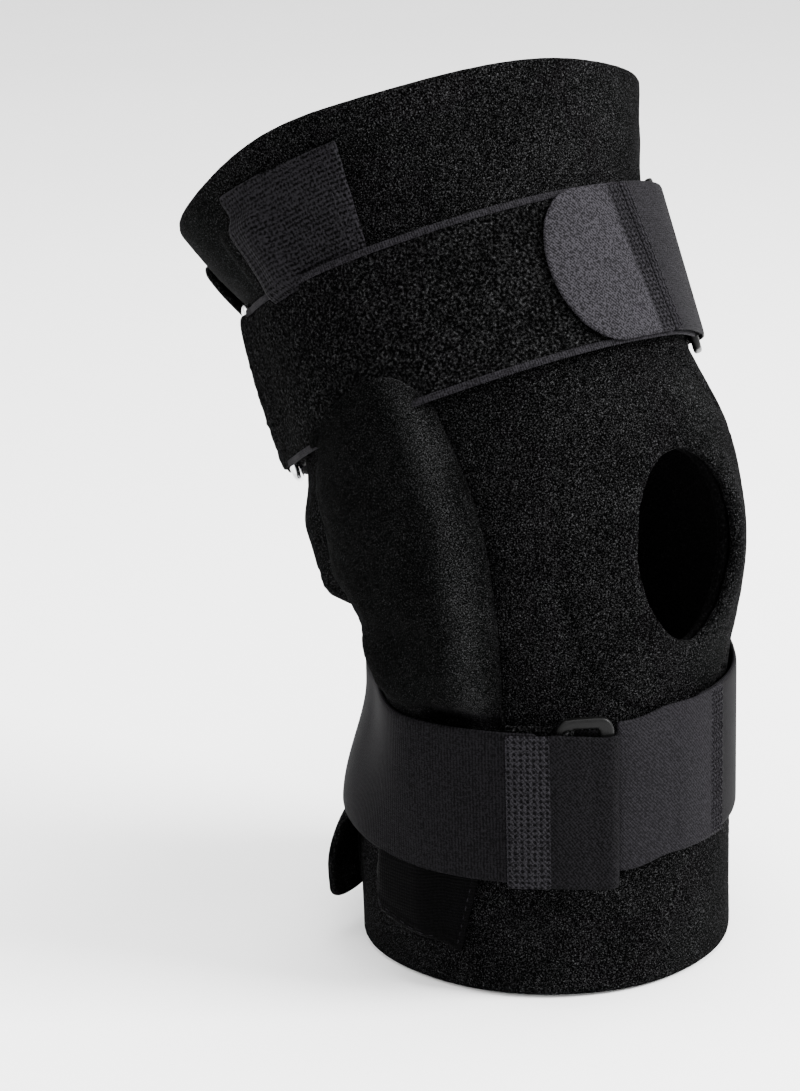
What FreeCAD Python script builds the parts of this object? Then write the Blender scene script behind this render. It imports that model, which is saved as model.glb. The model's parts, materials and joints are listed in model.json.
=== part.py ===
"""Hinged wraparound knee brace: a padded neoprene sleeve with an open kneecap, two geared
two-pivot side hinges in padded covers, and two straps closed with rings and hook tabs.

Frame: +Z up, -Y forward (kneecap side), -X the outer (lateral) side of the leg, +X the
inner (medial) side. The origin is the centre of the lower hem, which the brace stands on.
The brace is modelled 30 degrees bent. The calf half stands along Z. The thigh half has its
own frame, at the hinges' upper pivots, tilted back about X.

Angles round the leg are given from the front (0) towards the lateral side (90), the back
(180) and the medial side (270, or -90).
"""
import FreeCAD, Part
import math
import os
import re

import Sketcher
from FreeCAD import Placement, Rotation, Vector

SIZES = {
    # knee
    "lower_pivot_height": 134.0,   # above the hem
    "pivot_spacing": 16.0,
    "rest_flexion": 30.0,          # degrees
    # neoprene sleeve: outer radii and stations; thigh stations run up from the upper pivot
    "neoprene": 4.0,
    "hem_radius": 60.0,
    "calf_top_radius": 58.6,
    "calf_front_height": 100.0,
    "calf_rear_height": 60.0,
    "knee_radius": 62.5,
    "thigh_low_radius": 64.5,
    "thigh_front_start": 35.0,
    "thigh_rear_start": 75.0,
    "thigh_mid_radius": 67.0,
    "thigh_mid_station": 87.0,
    "thigh_hem_radius": 79.0,
    "thigh_length": 123.0,
    "sleeve_sweep": 300.0,
    "knee_sweep": 256.0,
    # kneecap opening and the pad sewn behind it
    "patella_width": 42.0,
    "patella_height": 60.0,
    "buttress_width": 88.0,
    "buttress_height": 96.0,
    "buttress_pad": 5.0,
    # rear closures
    "flap_pad": 3.0,
    "flap_gap": 1.2,
    "calf_flap_low": 11.0,
    "calf_flap_high": 90.0,
    "calf_flap_sweep": 92.0,
    "thigh_flap_low": 52.0,
    "thigh_flap_high": 116.0,
    "thigh_flap_sweep": 76.0,
    "calf_flap_angle": 174.0,
    "thigh_flap_angle": 181.0,
    "closure_hook": 0.8,
    "closure_hook_sweep": 14.0,
    "calf_hook_angle": 138.0,
    "thigh_hook_angle": 152.0,
    # straps
    "strap_width": 50.0,
    "plush": 2.0,
    "elastic": 1.8,
    "webbing": 1.3,
    "upper_strap_low": 32.0,
    "band_clearance": 4.4,         # over the stay, which lies between band and sleeve
    "lower_strap_low": 40.0,
    "lower_strap_radius": 66.3,
    "lower_strap_setback": 1.5,
    "upper_strap_setback": 3.4,
    "upper_front_ring_radius": 70.9,
    "upper_rear_ring_radius": 73.0,
    "lower_ring_radius": 63.2,
    "fold_web": 1.0,
    "band_front_angle": -36.9,
    "band_rear_angle": 124.4,
    "upper_front_ring_angle": -45.0,
    "upper_rear_ring_angle": 131.0,
    "lower_ring_angle": 32.0,
    "binding_width": 3.0,
    "binding": 0.5,
    "tab_seam_angle": -13.0,
    "tab_seam_gap": 1.6,           # degrees between the tab and the turned elastic
    "tab_radius": 74.9,
    "tab_sweep": 36.5,
    "turned_elastic_sweep": 38.4,
    "upper_elastic_radius": 72.3,
    "upper_elastic_sweep": 173.0,
    "upper_elastic_angle": 222.2,
    "lower_elastic_sweep": 302.0,
    "lower_elastic_angle": 207.0,
    "lower_band_radius": 59.7,
    "lower_band_sweep": 16.2,
    "lower_band_angle": 47.8,
    "lower_tab_radius": 62.4,
    "lower_tab_sweep": 29.0,
    "lower_tab_angle": 4.2,
    "webbing_turn_radius": 67.0,
    "webbing_turn_sweep": 32.3,
    "webbing_turn_angle": 38.15,
    # rings
    "ring_length": 57.0,
    "ring_width": 18.6,
    "ring_bar": 5.0,
    "ring_thickness": 3.0,
    "ring_end_bar": 2.4,
    "wire_ring_width": 15.0,
    "wire": 3.2,
    "wire_bend": 4.0,
    "wire_ring_extra": 2.0,        # longer than the moulded rings
    # hinges
    "hinge_inner_face": 64.0,      # inner face of the inner plate, from the middle plane
    "plate": 1.5,
    "hinge_play": 0.1,
    "stay": 2.5,
    "stay_width": 15.0,
    "calf_stay_stand": 2.2,        # the stays' inner faces, over the sleeve's named radii
    "thigh_stay_low_stand": 1.3,
    "thigh_stay_stand": 0.6,
    "thigh_stay_end_stand": 6.3,
    "calf_stay_bend": 12.0,        # how far from its pivot each stay bends
    "thigh_stay_bend": 22.0,
    "stay_bend_drop": 8.0,
    "gear_teeth": 16.0,
    "tooth_tip": 0.7,
    "tooth_pitch_line": 1.25,
    "tooth_root": 1.7,
    "gear_addendum": 0.7,
    "gear_dedendum": 1.1,
    "pivot_bore": 3.05,
    "rivet_radius": 3.0,
    "rivet_head_radius": 5.0,
    "rivet_head": 1.0,
    "plate_width": 21.0,
    # hinge covers
    "cover_cavity": 71.4,
    "cover_calf": 6.0,             # how far the cover stands off the calf
    "cover_face": 74.7,
    "cover_thigh": 10.0,
    "cover_half_width": 33.0,
    "cover_dome": 24.0,
    "cover_low": 78.0,
    "cover_high": 47.0,
    "band_room": 0.5,              # between a cover and the band under its dome
    "pocket_stand": 4.8,
    "pocket_hem": 1.5,
    "upper_pocket_low": 88.0,
    "upper_pocket_high": 113.0,
    "upper_pocket_sweep": 34.0,
    "upper_pocket_angle": 82.0,
    "upper_stay_end": 104.0,
    "lower_pocket_low": 8.0,
    "lower_pocket_high": 39.0,
    "lower_pocket_sweep": 38.0,
    "lower_pocket_angle": 87.0,
    "lower_stay_end": 20.0,
}

doc = FreeCAD.newDocument("KneeBrace")
sheet = doc.addObject("Spreadsheet::Sheet", "Dims")
for row, (word, number) in enumerate(SIZES.items(), start=1):
    sheet.set(f"A{row}", word)
    sheet.set(f"B{row}", str(number))
    sheet.setAlias(f"B{row}", word)
doc.recompute()

PARTS = []
Z_AXIS = Vector(0, 0, 1)
FAR = 200.0                        # beyond the brace in every direction
KNEE_REACH = 60.0                  # how far each half runs on before the middle plane cuts it
FOLD_GAP = 0.3                     # between a ring's bar and the strap folded round it
SIDES = {"lateral": 90.0, "medial": -90.0}


def size(word):
    """A driving dimension, read from the sheet."""
    return float(getattr(sheet, word))


def formula(words):
    """An expression in plain aliases, made into one that reads the sheet."""
    return re.sub(r"[a-z][a-z_]+", lambda found: "Dims." + found.group(0), words)


def unit(degrees):
    """The unit vector in the YZ plane that leans back from +Z by this angle."""
    angle = math.radians(degrees)
    return Vector(0, math.sin(angle), math.cos(angle))


def leaning(origin, degrees):
    """A frame at origin whose Z axis leans back by this angle."""
    return Placement(origin, Rotation(Vector(-1, 0, 0), degrees))


LOWER_PIVOT = Vector(0, 0, size("lower_pivot_height"))
LINK_LEAN = size("rest_flexion") / 2
UPPER_PIVOT = LOWER_PIVOT + unit(LINK_LEAN) * size("pivot_spacing")
CALF = Placement()
LOWER_HINGE = leaning(LOWER_PIVOT, 0)
LINK = leaning((LOWER_PIVOT + UPPER_PIVOT) * 0.5, LINK_LEAN)
THIGH = leaning(UPPER_PIVOT, size("rest_flexion"))


def facing(angle):
    """A turn about Z that points local +X at this angle round the leg."""
    return Placement(Vector(), Rotation(Z_AXIS, 270 - angle))


def lifted(height):
    """A move up the frame's Z axis."""
    return Placement(Vector(0, 0, height), Rotation())


def finished(part, name):
    part.Label = name
    PARTS.append(part)
    return part


# ---------------------------------------------------------------- sketches and bodies

def new_body(name):
    return finished(doc.addObject("PartDesign::Body", name), name)


def sketch_on(body, plane, name, offset=None):
    """A sketch on one of the body's own origin planes, or moved along its normal."""
    found = next(f for f in body.Origin.OriginFeatures if f.Role == plane)
    sketch = body.newObject("Sketcher::SketchObject", name)
    sketch.AttachmentSupport = [(found, "")]
    sketch.MapMode = "FlatFace"
    if offset:
        sketch.setExpression("AttachmentOffset.Base.z", formula(offset))
    return sketch


def draw_outline(sketch, corners):
    """A closed outline. Each corner is a pair of expressions that drive its two distances."""
    count = len(corners)
    start = [Vector(10 + 7 * math.cos(6.28 * i / count), 10 + 7 * math.sin(6.28 * i / count), 0)
             for i in range(count)]
    for i in range(count):
        sketch.addGeometry(Part.LineSegment(start[i], start[(i + 1) % count]), False)
    for i in range(count):
        sketch.addConstraint(Sketcher.Constraint("Coincident", i, 2, (i + 1) % count, 1))
    for i, pair in enumerate(corners):
        for kind, expression, value in (("DistanceX", pair[0], start[i].x),
                                        ("DistanceY", pair[1], start[i].y)):
            index = sketch.addConstraint(Sketcher.Constraint(kind, -1, 1, i, 1, value))
            sketch.renameConstraint(index, f"{kind}_{i}")
            sketch.setExpression(f"Constraints.{kind}_{i}", formula(expression))


def draw_polygon(sketch, points):
    """A closed outline through plain points."""
    for a, b in zip(points, points[1:] + points[:1]):
        sketch.addGeometry(Part.LineSegment(Vector(a[0], a[1], 0), Vector(b[0], b[1], 0)), False)


def draw_circle(sketch, centre, radius):
    """A circle whose radius is an expression."""
    index = sketch.addGeometry(Part.Circle(Vector(centre[0], centre[1], 0), Z_AXIS, 1.0), False)
    constraint = sketch.addConstraint(Sketcher.Constraint("Radius", index, 1.0))
    sketch.renameConstraint(constraint, f"radius_{index}")
    sketch.setExpression(f"Constraints.radius_{index}", formula(radius))


def pad(body, sketch, length, name, symmetric=True):
    """A pad of the sketch, half on each side of its plane or all of it along the normal."""
    feature = body.newObject("PartDesign::Pad", name)
    feature.Profile = sketch
    feature.SideType = "Symmetric" if symmetric else "One side"
    feature.setExpression("Length", formula(length))
    return feature


def cut_through(body, sketch, name):
    """A pocket through everything on both sides of the sketch."""
    feature = body.newObject("PartDesign::Pocket", name)
    feature.Profile = sketch
    feature.SideType = "Symmetric"
    feature.Length = 2 * FAR
    return feature


def wrap(name, frame, corners, sweep, angle, setback=None):
    """A band round the leg: a profile of (radius, height) corners turned through sweep
    degrees, its middle at this angle, on an axis set back behind the frame's own."""
    body = new_body(name)
    profile = sketch_on(body, "XZ_Plane", name + "_profile")
    draw_outline(profile, corners)
    turned = body.newObject("PartDesign::Revolution", name + "_turned")
    turned.Profile = profile
    turned.ReferenceAxis = (profile, ["V_Axis"])
    turned.Midplane = True
    turned.setExpression("Angle", formula(sweep))
    back = size(setback) if setback else 0.0
    body.Placement = frame * Placement(Vector(0, back, 0), Rotation()) * facing(angle)
    return body


# ---------------------------------------------------------------- plain solids for soft parts

def shape_part(name, shape, frame=CALF):
    """A Part::Feature for a soft piece, which no single solid feature describes."""
    part = doc.addObject("Part::Feature", name)
    part.Shape = shape
    part.Placement = frame
    return finished(part, name)


def block(low, high):
    return Part.makeBox(high.x - low.x, high.y - low.y, high.z - low.z, low)


def turned_shell(profile):
    """The solid between the Z axis and a line of (radius, height) points."""
    points = [Vector(0, 0, profile[0][1])] + [Vector(r, 0, z) for r, z in profile]
    points += [Vector(0, 0, profile[-1][1]), points[0]]
    return Part.Face(Part.makePolygon(points)).revolve(Vector(), Z_AXIS, 360)


def bent_solid(calf_line, thigh_line):
    """A bent solid round the knee, from a (radius, height) line on the calf's axis and one on
    the thigh's. Its two halves meet in the hinges' middle plane."""
    calf, thigh = turned_shell(calf_line), turned_shell(thigh_line)
    thigh.Placement = THIGH
    above = block(Vector(-FAR, -FAR, 0), Vector(FAR, FAR, FAR))
    above.Placement = LINK
    return calf.cut(above).fuse(thigh.common(above)).removeSplitter()


def sleeve_solid(offset):
    """The bent knee stretch of the sleeve, its surface moved out by offset."""
    knee, pivot = size("knee_radius") + offset, size("lower_pivot_height")
    calf = [(size("hem_radius") + offset, 0),
            (size("calf_top_radius") + offset, size("calf_front_height")),
            (knee, pivot), (knee, pivot + KNEE_REACH)]
    thigh = [(knee, -KNEE_REACH), (knee, 0),
             (size("thigh_low_radius") + offset, size("thigh_front_start")),
             (size("thigh_mid_radius") + offset, size("thigh_mid_station"))]
    return bent_solid(calf, thigh)


def knee_layer(inner, outer):
    """The layer of the knee stretch between two even offsets from the sleeve's face."""
    return sleeve_solid(outer).cut(sleeve_solid(inner))


def slanted(frame, front, rear, upwards):
    """Everything past a plane that crosses the leg at these front and rear heights."""
    radius = size("knee_radius")
    rise = (rear - front) / (2 * radius)
    middle = (front + rear) / 2
    far = FAR if upwards else -FAR
    corners = [Vector(-FAR, -FAR, middle - FAR * rise), Vector(-FAR, FAR, middle + FAR * rise),
               Vector(-FAR, FAR, far), Vector(-FAR, -FAR, far)]
    solid = Part.Face(Part.makePolygon(corners + corners[:1])).extrude(Vector(2 * FAR, 0, 0))
    solid.Placement = frame
    return solid


def sector(frame, angle, sweep):
    """A wedge about the frame's Z axis, its middle at this angle round the leg."""
    wedge = Part.makeCylinder(FAR, 2 * FAR, Vector(0, 0, -FAR), Z_AXIS, sweep)
    wedge.Placement = frame * facing(angle + sweep / 2)
    return wedge


def front_oval(width, height, frame):
    """A prism of upright oval section, from the frame's origin out through the front."""
    ellipse = Part.Ellipse(Vector(), height / 2, width / 2)
    prism = Part.Face(Part.Wire([ellipse.toShape()])).extrude(Vector(0, 0, -FAR))
    prism.Placement = frame * Placement(Vector(), Rotation(Vector(1, 1, 1), 240))
    return prism


def bar_loop(name, frame, ring, step, bar, wall, low):
    """The end of a strap folded round a ring's bar: a flat tube as tall as the strap. ring is
    the ring's (angle, radius), and the bar stands step from its middle, against the front."""
    angle, radius = ring
    width, depth = bar[0] / 2 + FOLD_GAP, bar[1] / 2 + FOLD_GAP
    tall = size("strap_width")
    outer = block(Vector(-depth - wall, -width - wall, 0), Vector(depth + wall, width + wall, tall))
    inner = block(Vector(-depth, -width, -1), Vector(depth, width, tall + 1))
    place = lifted(low) * facing(angle) * Placement(Vector(radius, -step, 0), Rotation())
    return shape_part(name, outer.cut(inner), frame * place)


# ---------------------------------------------------------------- sleeve

def calf_sleeve():
    """The calf stretch of the neoprene, open at the back, higher in front than behind."""
    body = wrap("calf_sleeve", CALF,
                [("hem_radius - neoprene", "0"), ("hem_radius", "0"),
                 ("calf_top_radius", "calf_front_height"),
                 ("calf_top_radius - neoprene", "calf_front_height")],
                "sleeve_sweep", 0)
    trim_slanted(body, size("calf_front_height"), size("calf_rear_height"), FAR)


def thigh_sleeve():
    """The thigh stretch of the neoprene, open at the back and flared to the hem."""
    body = wrap("thigh_sleeve", THIGH,
                [("thigh_low_radius - neoprene", "thigh_front_start"),
                 ("thigh_low_radius", "thigh_front_start"),
                 ("thigh_mid_radius", "thigh_mid_station"),
                 ("thigh_hem_radius", "thigh_length"),
                 ("thigh_hem_radius - neoprene", "thigh_length"),
                 ("thigh_mid_radius - neoprene", "thigh_mid_station")],
                "sleeve_sweep", 0)
    trim_slanted(body, size("thigh_front_start"), size("thigh_rear_start"), -FAR)


def trim_slanted(body, front, rear, far):
    """Cuts a sleeve back along the plane where the knee panel joins it."""
    radius = size("knee_radius")
    rise = (rear - front) / (2 * radius)
    middle = (front + rear) / 2
    sketch = sketch_on(body, "XZ_Plane", body.Name + "_trim")
    draw_polygon(sketch, [(-FAR, middle + FAR * rise), (FAR, middle - FAR * rise),
                          (FAR, far), (-FAR, far)])
    cut_through(body, sketch, body.Name + "_trimmed")


def knee_panel():
    """The stretch over the knee, with the kneecap opening and the open back."""
    panel = knee_layer(-size("neoprene"), 0)
    panel = panel.cut(slanted(CALF, size("calf_front_height"), size("calf_rear_height"), False))
    panel = panel.cut(slanted(THIGH, size("thigh_front_start"), size("thigh_rear_start"), True))
    panel = panel.common(sector(LINK, 0, size("knee_sweep")))
    hole = front_oval(size("patella_width"), size("patella_height"), LINK)
    shape_part("knee_panel", panel.cut(hole))


def patella_buttress():
    """The foam ring sewn behind the panel round the kneecap opening."""
    outer = -size("neoprene") - 0.2
    rim = front_oval(size("buttress_width"), size("buttress_height"), LINK)
    hole = front_oval(size("patella_width") + 3, size("patella_height") + 3, LINK)
    ring = knee_layer(outer - size("buttress_pad"), outer).common(rim)
    shape_part("patella_buttress", ring.cut(hole))


def lapping(line, near, thick):
    """The profile of a layer that stands near outside a line of (radius, height) pairs."""
    inside = [(radius + near, height) for radius, height in line]
    outside = [(radius + near + " + " + thick, height) for radius, height in reversed(line)]
    return inside + outside


CALF_FLAP = (("hem_radius", "calf_flap_low"), ("hem_radius", "calf_flap_high"))
THIGH_FLAP = (("thigh_mid_radius", "thigh_flap_low"), ("thigh_mid_radius", "thigh_mid_station"),
              ("thigh_hem_radius - 2", "thigh_flap_high"))
CALF_HOOK = (("hem_radius", "calf_flap_low + 5"), ("hem_radius", "calf_rear_height - 6"))
THIGH_HOOK = (("thigh_mid_radius", "thigh_rear_start + 2"),
              ("thigh_mid_radius", "thigh_mid_station"),
              ("thigh_hem_radius - 4.3", "thigh_flap_high - 6"))


def closures():
    """The padded flaps that lap both edges of the open back, and their hook strips."""
    for name, frame, line, sweep, angle in (
            ("calf_rear_flap", CALF, CALF_FLAP, "calf_flap_sweep", "calf_flap_angle"),
            ("thigh_rear_flap", THIGH, THIGH_FLAP, "thigh_flap_sweep", "thigh_flap_angle")):
        wrap(name, frame, lapping(line, " + flap_gap", "flap_pad"), sweep, size(angle))
    for name, frame, line, angle in (
            ("calf_closure_hook", CALF, CALF_HOOK, "calf_hook_angle"),
            ("thigh_closure_hook", THIGH, THIGH_HOOK, "thigh_hook_angle")):
        wrap(name, frame, lapping(line, " + 0.2", "closure_hook"), "closure_hook_sweep",
             size(angle))


# ---------------------------------------------------------------- upper strap

UPPER_TOP = "upper_strap_low + strap_width"
BAND_IN = ("thigh_low_radius + band_clearance", "thigh_mid_radius + band_clearance")
LOWER_TOP = "lower_strap_low + strap_width"


def strap_profile(inner, low, high, thick):
    """The profile of a strap whose inner face runs from inner[0] to inner[1]."""
    return [(inner[0], low), (inner[0] + " + " + thick, low),
            (inner[1] + " + " + thick, high), (inner[1], high)]


def joined(name, pieces):
    """One strap made of its wrapped stretches and the folds at its ends."""
    for number, piece in enumerate(pieces):
        PARTS.remove(piece)
        piece.Label = f"{name}_stretch_{number}"
    whole = doc.addObject("Part::MultiFuse", name)
    whole.Shapes = pieces
    return finished(whole, name)


def ring_at(name):
    """A ring's (angle, radius)."""
    return size(name + "_ring_angle"), size(name + "_ring_radius")


def ring_bars():
    """The bar sections of both kinds of ring, and how far the bars stand from the middle."""
    flat = (size("ring_bar"), size("ring_thickness"))
    wire = (size("wire"), size("wire"))
    flat_step = (size("ring_width") - size("ring_bar")) / 2
    wire_step = (size("wire_ring_width") - size("wire")) / 2
    return flat, wire, flat_step, wire_step


def upper_band():
    """The plush band from the front ring round to the rear ring, folded round a bar of each,
    and the binding on its two edges."""
    flat, wire, flat_step, wire_step = ring_bars()
    low = size("upper_strap_low")
    middle = (size("band_front_angle") + size("band_rear_angle")) / 2
    band = wrap("band_sheet", THIGH,
                strap_profile(BAND_IN, "upper_strap_low", UPPER_TOP, "plush"),
                "band_rear_angle - band_front_angle", middle)
    ends = [bar_loop("band_front_fold", THIGH, ring_at("upper_front"), flat_step, flat,
                     size("fold_web"), low),
            bar_loop("band_rear_fold", THIGH, ring_at("upper_rear"), -wire_step, wire,
                     size("webbing"), low)]
    joined("upper_loop_band", [band] + ends)
    for name, start, radius in (("upper_band_lower_binding", "upper_strap_low", BAND_IN[0]),
                                ("upper_band_upper_binding", UPPER_TOP + " - binding_width",
                                 BAND_IN[1] + " - 0.1")):
        near = radius + " + plush + 0.2"
        wrap(name, THIGH,
             [(near, start), (near + " + binding", start),
              (near + " + binding", start + " + binding_width"),
              (near, start + " + binding_width")],
             "band_rear_angle - band_front_angle - 3", middle)


def upper_elastic():
    """The elastic from the rear ring round the back to the front ring, folded round a bar of
    each, and turned back over the band as far as the hook tab."""
    flat, wire, flat_step, wire_step = ring_bars()
    low, wall = size("upper_strap_low"), size("elastic")
    back = wrap("elastic_back", THIGH,
                strap_profile(("upper_elastic_radius",) * 2, "upper_strap_low", UPPER_TOP,
                              "elastic"),
                "upper_elastic_sweep", size("upper_elastic_angle"), "upper_strap_setback")
    turned = wrap("elastic_turned", THIGH,
                  strap_profile(("tab_radius",) * 2, "upper_strap_low", UPPER_TOP, "webbing"),
                  "turned_elastic_sweep",
                  size("tab_seam_angle") - size("tab_seam_gap")
                  - size("turned_elastic_sweep") / 2)
    ends = [bar_loop("elastic_front_fold", THIGH, ring_at("upper_front"), -flat_step, flat,
                     wall, low),
            bar_loop("elastic_rear_fold", THIGH, ring_at("upper_rear"), wire_step, wire,
                     wall, low)]
    joined("upper_elastic", [back, turned] + ends)


def flat_ring(name, frame, ring, middle):
    """A moulded ring: a flat rounded frame with one long slot."""
    angle, radius = ring
    body = new_body(name)
    outline = sketch_on(body, "YZ_Plane", name + "_outline")
    half_w, half_l = "ring_width / 2", "ring_length / 2"
    draw_outline(outline, [("-(" + half_w + ")", "-(" + half_l + ")"), (half_w, "-(" + half_l + ")"),
                           (half_w, half_l), ("-(" + half_w + ")", half_l)])
    plate = pad(body, outline, "ring_thickness", name + "_plate")
    doc.recompute()
    corners = [f"Edge{i + 1}" for i, edge in enumerate(plate.Shape.Edges)
               if abs(edge.tangentAt(edge.FirstParameter).x) > 0.99]
    rounded = body.newObject("PartDesign::Fillet", name + "_corners")
    rounded.Base = (plate, corners)
    rounded.setExpression("Radius", "Dims.ring_bar")
    slot = sketch_on(body, "YZ_Plane", name + "_slot")
    inner_w, inner_l = "(ring_width / 2 - ring_bar)", "(ring_length / 2 - ring_end_bar)"
    draw_outline(slot, [("-" + inner_w, "-" + inner_l), (inner_w, "-" + inner_l),
                        (inner_w, inner_l), ("-" + inner_w, inner_l)])
    cut_through(body, slot, name + "_opening")
    out = Placement(Vector(radius, 0, 0), Rotation())
    body.Placement = frame * lifted(middle) * facing(angle) * out


def wire_ring(name, frame, ring, middle):
    """A ring of round wire, bent to a long rectangle with rounded corners."""
    angle, radius = ring
    body = new_body(name)
    half_w = (size("wire_ring_width") - size("wire")) / 2
    half_l = (size("ring_length") + size("wire_ring_extra") - size("wire")) / 2
    bend = size("wire_bend")
    path = sketch_on(body, "YZ_Plane", name + "_path")
    for sign in (1, -1):
        path.addGeometry(Part.LineSegment(Vector(sign * half_w, -half_l + bend, 0),
                                          Vector(sign * half_w, half_l - bend, 0)), False)
        path.addGeometry(Part.LineSegment(Vector(-half_w + bend, sign * half_l, 0),
                                          Vector(half_w - bend, sign * half_l, 0)), False)
    for x, y, first in ((1, 1, 0), (-1, 1, 90), (-1, -1, 180), (1, -1, 270)):
        centre = Vector(x * (half_w - bend), y * (half_l - bend), 0)
        arc = Part.ArcOfCircle(Part.Circle(centre, Z_AXIS, bend),
                               math.radians(first), math.radians(first + 90))
        path.addGeometry(arc, False)
    section = sketch_on(body, "XY_Plane", name + "_section")
    index = section.addGeometry(Part.Circle(Vector(0, half_w, 0), Z_AXIS, 1.0), False)
    constraint = section.addConstraint(Sketcher.Constraint("Radius", index, 1.0))
    section.renameConstraint(constraint, "wire_radius")
    section.setExpression("Constraints.wire_radius", "Dims.wire / 2")
    ring = body.newObject("PartDesign::AdditivePipe", name + "_wire")
    ring.Profile = section
    ring.Spine = (path, [f"Edge{i + 1}" for i in range(8)])
    out = Placement(Vector(radius, 0, 0), Rotation())
    body.Placement = frame * lifted(middle) * facing(angle) * out


def rings():
    """The moulded front rings and the wire rear ring."""
    half = size("strap_width") / 2
    upper_middle, lower_middle = size("upper_strap_low") + half, size("lower_strap_low") + half
    flat_ring("upper_front_ring", THIGH, ring_at("upper_front"), upper_middle)
    wire_ring("upper_rear_ring", THIGH, ring_at("upper_rear"), upper_middle)
    flat_ring("lower_ring", CALF, ring_at("lower"), lower_middle)


def upper_tab():
    """The hook tab with its half-round end, sewn to the turned elastic at its seam."""
    sweep = size("tab_sweep")
    tab = wrap("upper_hook_tab", THIGH,
               strap_profile(("tab_radius",) * 2, "upper_strap_low", UPPER_TOP, "webbing"),
               "tab_sweep", size("tab_seam_angle") + sweep / 2)
    round_end(tab, sweep)


def round_end(tab, sweep):
    """Cuts the tab's free end to a half round."""
    half = size("strap_width") / 2
    middle = size("upper_strap_low") + half
    reach = size("tab_radius") * math.sin(math.radians(sweep / 2))
    sketch = sketch_on(tab, "YZ_Plane", "upper_hook_tab_end")
    centre = Vector(-(reach - half), middle, 0)
    corner = half + 2
    arc = Part.ArcOfCircle(Part.Circle(centre, Z_AXIS, half), math.radians(90), math.radians(270))
    sketch.addGeometry(arc, False)
    top, low = Vector(centre.x, middle + half, 0), Vector(centre.x, middle - half, 0)
    outline = [low, Vector(centre.x, middle - corner, 0), Vector(-60, middle - corner, 0),
               Vector(-60, middle + corner, 0), Vector(centre.x, middle + corner, 0), top]
    for a, b in zip(outline, outline[1:]):
        sketch.addGeometry(Part.LineSegment(a, b), False)
    cut_through(tab, sketch, "upper_hook_tab_rounded")


# ---------------------------------------------------------------- lower strap

def lower_strap():
    """The elastic round the calf, the plush band and webbing turn that hold the front ring,
    and the hook tab that closes on the sleeve."""
    flat, _, step, _ = ring_bars()
    low = size("lower_strap_low")
    wrap("lower_elastic", CALF,
         strap_profile(("lower_strap_radius",) * 2, "lower_strap_low", LOWER_TOP, "elastic"),
         "lower_elastic_sweep", size("lower_elastic_angle"), "lower_strap_setback")
    wrap("lower_hook_tab", CALF,
         strap_profile(("lower_tab_radius",) * 2, "lower_strap_low", LOWER_TOP, "webbing"),
         "lower_tab_sweep", size("lower_tab_angle"))
    band = wrap("lower_band_sheet", CALF,
                strap_profile(("lower_band_radius",) * 2, "lower_strap_low", LOWER_TOP, "plush"),
                "lower_band_sweep", size("lower_band_angle"))
    fold = bar_loop("lower_band_fold", CALF, ring_at("lower"), step, flat, size("fold_web"), low)
    joined("lower_loop_band", [band, fold])
    turn = wrap("webbing_sheet", CALF,
                strap_profile(("webbing_turn_radius",) * 2, "lower_strap_low", LOWER_TOP,
                              "webbing"),
                "webbing_turn_sweep", size("webbing_turn_angle"))
    fold = bar_loop("webbing_fold", CALF, ring_at("lower"), -step, flat, size("elastic"), low)
    joined("lower_webbing_turn", [turn, fold])


# ---------------------------------------------------------------- hinges

INNER_STAY_FACE = "hinge_inner_face + plate + hinge_play"
PITCH = "pivot_spacing / 2"


def strip(body, line):
    """The bent flat strip of a stay, from the (distance out, height) line of its inner face."""
    sketch = sketch_on(body, "XZ_Plane", body.Name + "_bend")
    outer = [(out + " + stay", height) for out, height in reversed(line)]
    draw_outline(sketch, line + outer)
    pad(body, sketch, "stay_width", body.Name + "_strip")


def gear_end(body, first, count):
    """The toothed round end of a stay about its pivot. first is the first tooth's angle."""
    name = body.Name
    disc = sketch_on(body, "YZ_Plane", name + "_root", INNER_STAY_FACE)
    draw_circle(disc, (0, 0), PITCH + " - gear_dedendum")
    pad(body, disc, "stay", name + "_disc", symmetric=False)
    tooth = sketch_on(body, "YZ_Plane", name + "_tooth", INNER_STAY_FACE)
    pitch = size("pivot_spacing") / 2
    root, tip = pitch - size("gear_dedendum"), pitch + size("gear_addendum")
    sides = [(root - 0.8, size("tooth_root") / 2), (root, size("tooth_root") / 2),
             (pitch, size("tooth_pitch_line") / 2), (tip, size("tooth_tip") / 2)]
    flank = sides + [(out, -half) for out, half in reversed(sides)]
    turn = math.radians(first)
    draw_polygon(tooth, [(out * math.sin(turn) + half * math.cos(turn),
                          out * math.cos(turn) - half * math.sin(turn)) for out, half in flank])
    single = pad(body, tooth, "stay", name + "_first_tooth", symmetric=False)
    doc.recompute()
    pattern = body.newObject("PartDesign::PolarPattern", name + "_teeth")
    pattern.Originals = [single]
    pattern.Axis = (tooth, ["N_Axis"])
    pattern.Reversed = True
    pattern.Angle = (count - 1) * 360 / size("gear_teeth")
    pattern.Occurrences = count
    body.Tip = pattern
    bore = sketch_on(body, "YZ_Plane", name + "_bore")
    draw_circle(bore, (0, 0), "pivot_bore")
    cut_through(body, bore, name + "_bored")


def lower_stay(side, angle):
    """The calf stay: bent in to lie on the sleeve, with teeth at its upper end."""
    body = new_body(side + "_lower_stay")
    inner = "calf_top_radius + calf_stay_stand"
    strip(body, [(INNER_STAY_FACE, "-2"), (INNER_STAY_FACE, "-calf_stay_bend"),
                 (inner, "calf_front_height - lower_pivot_height - stay_bend_drop"),
                 (inner, "lower_stay_end - lower_pivot_height")])
    tooth = 360 / size("gear_teeth")
    gear_end(body, -3 * tooth, 7)
    body.Placement = LOWER_HINGE * facing(angle)


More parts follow.
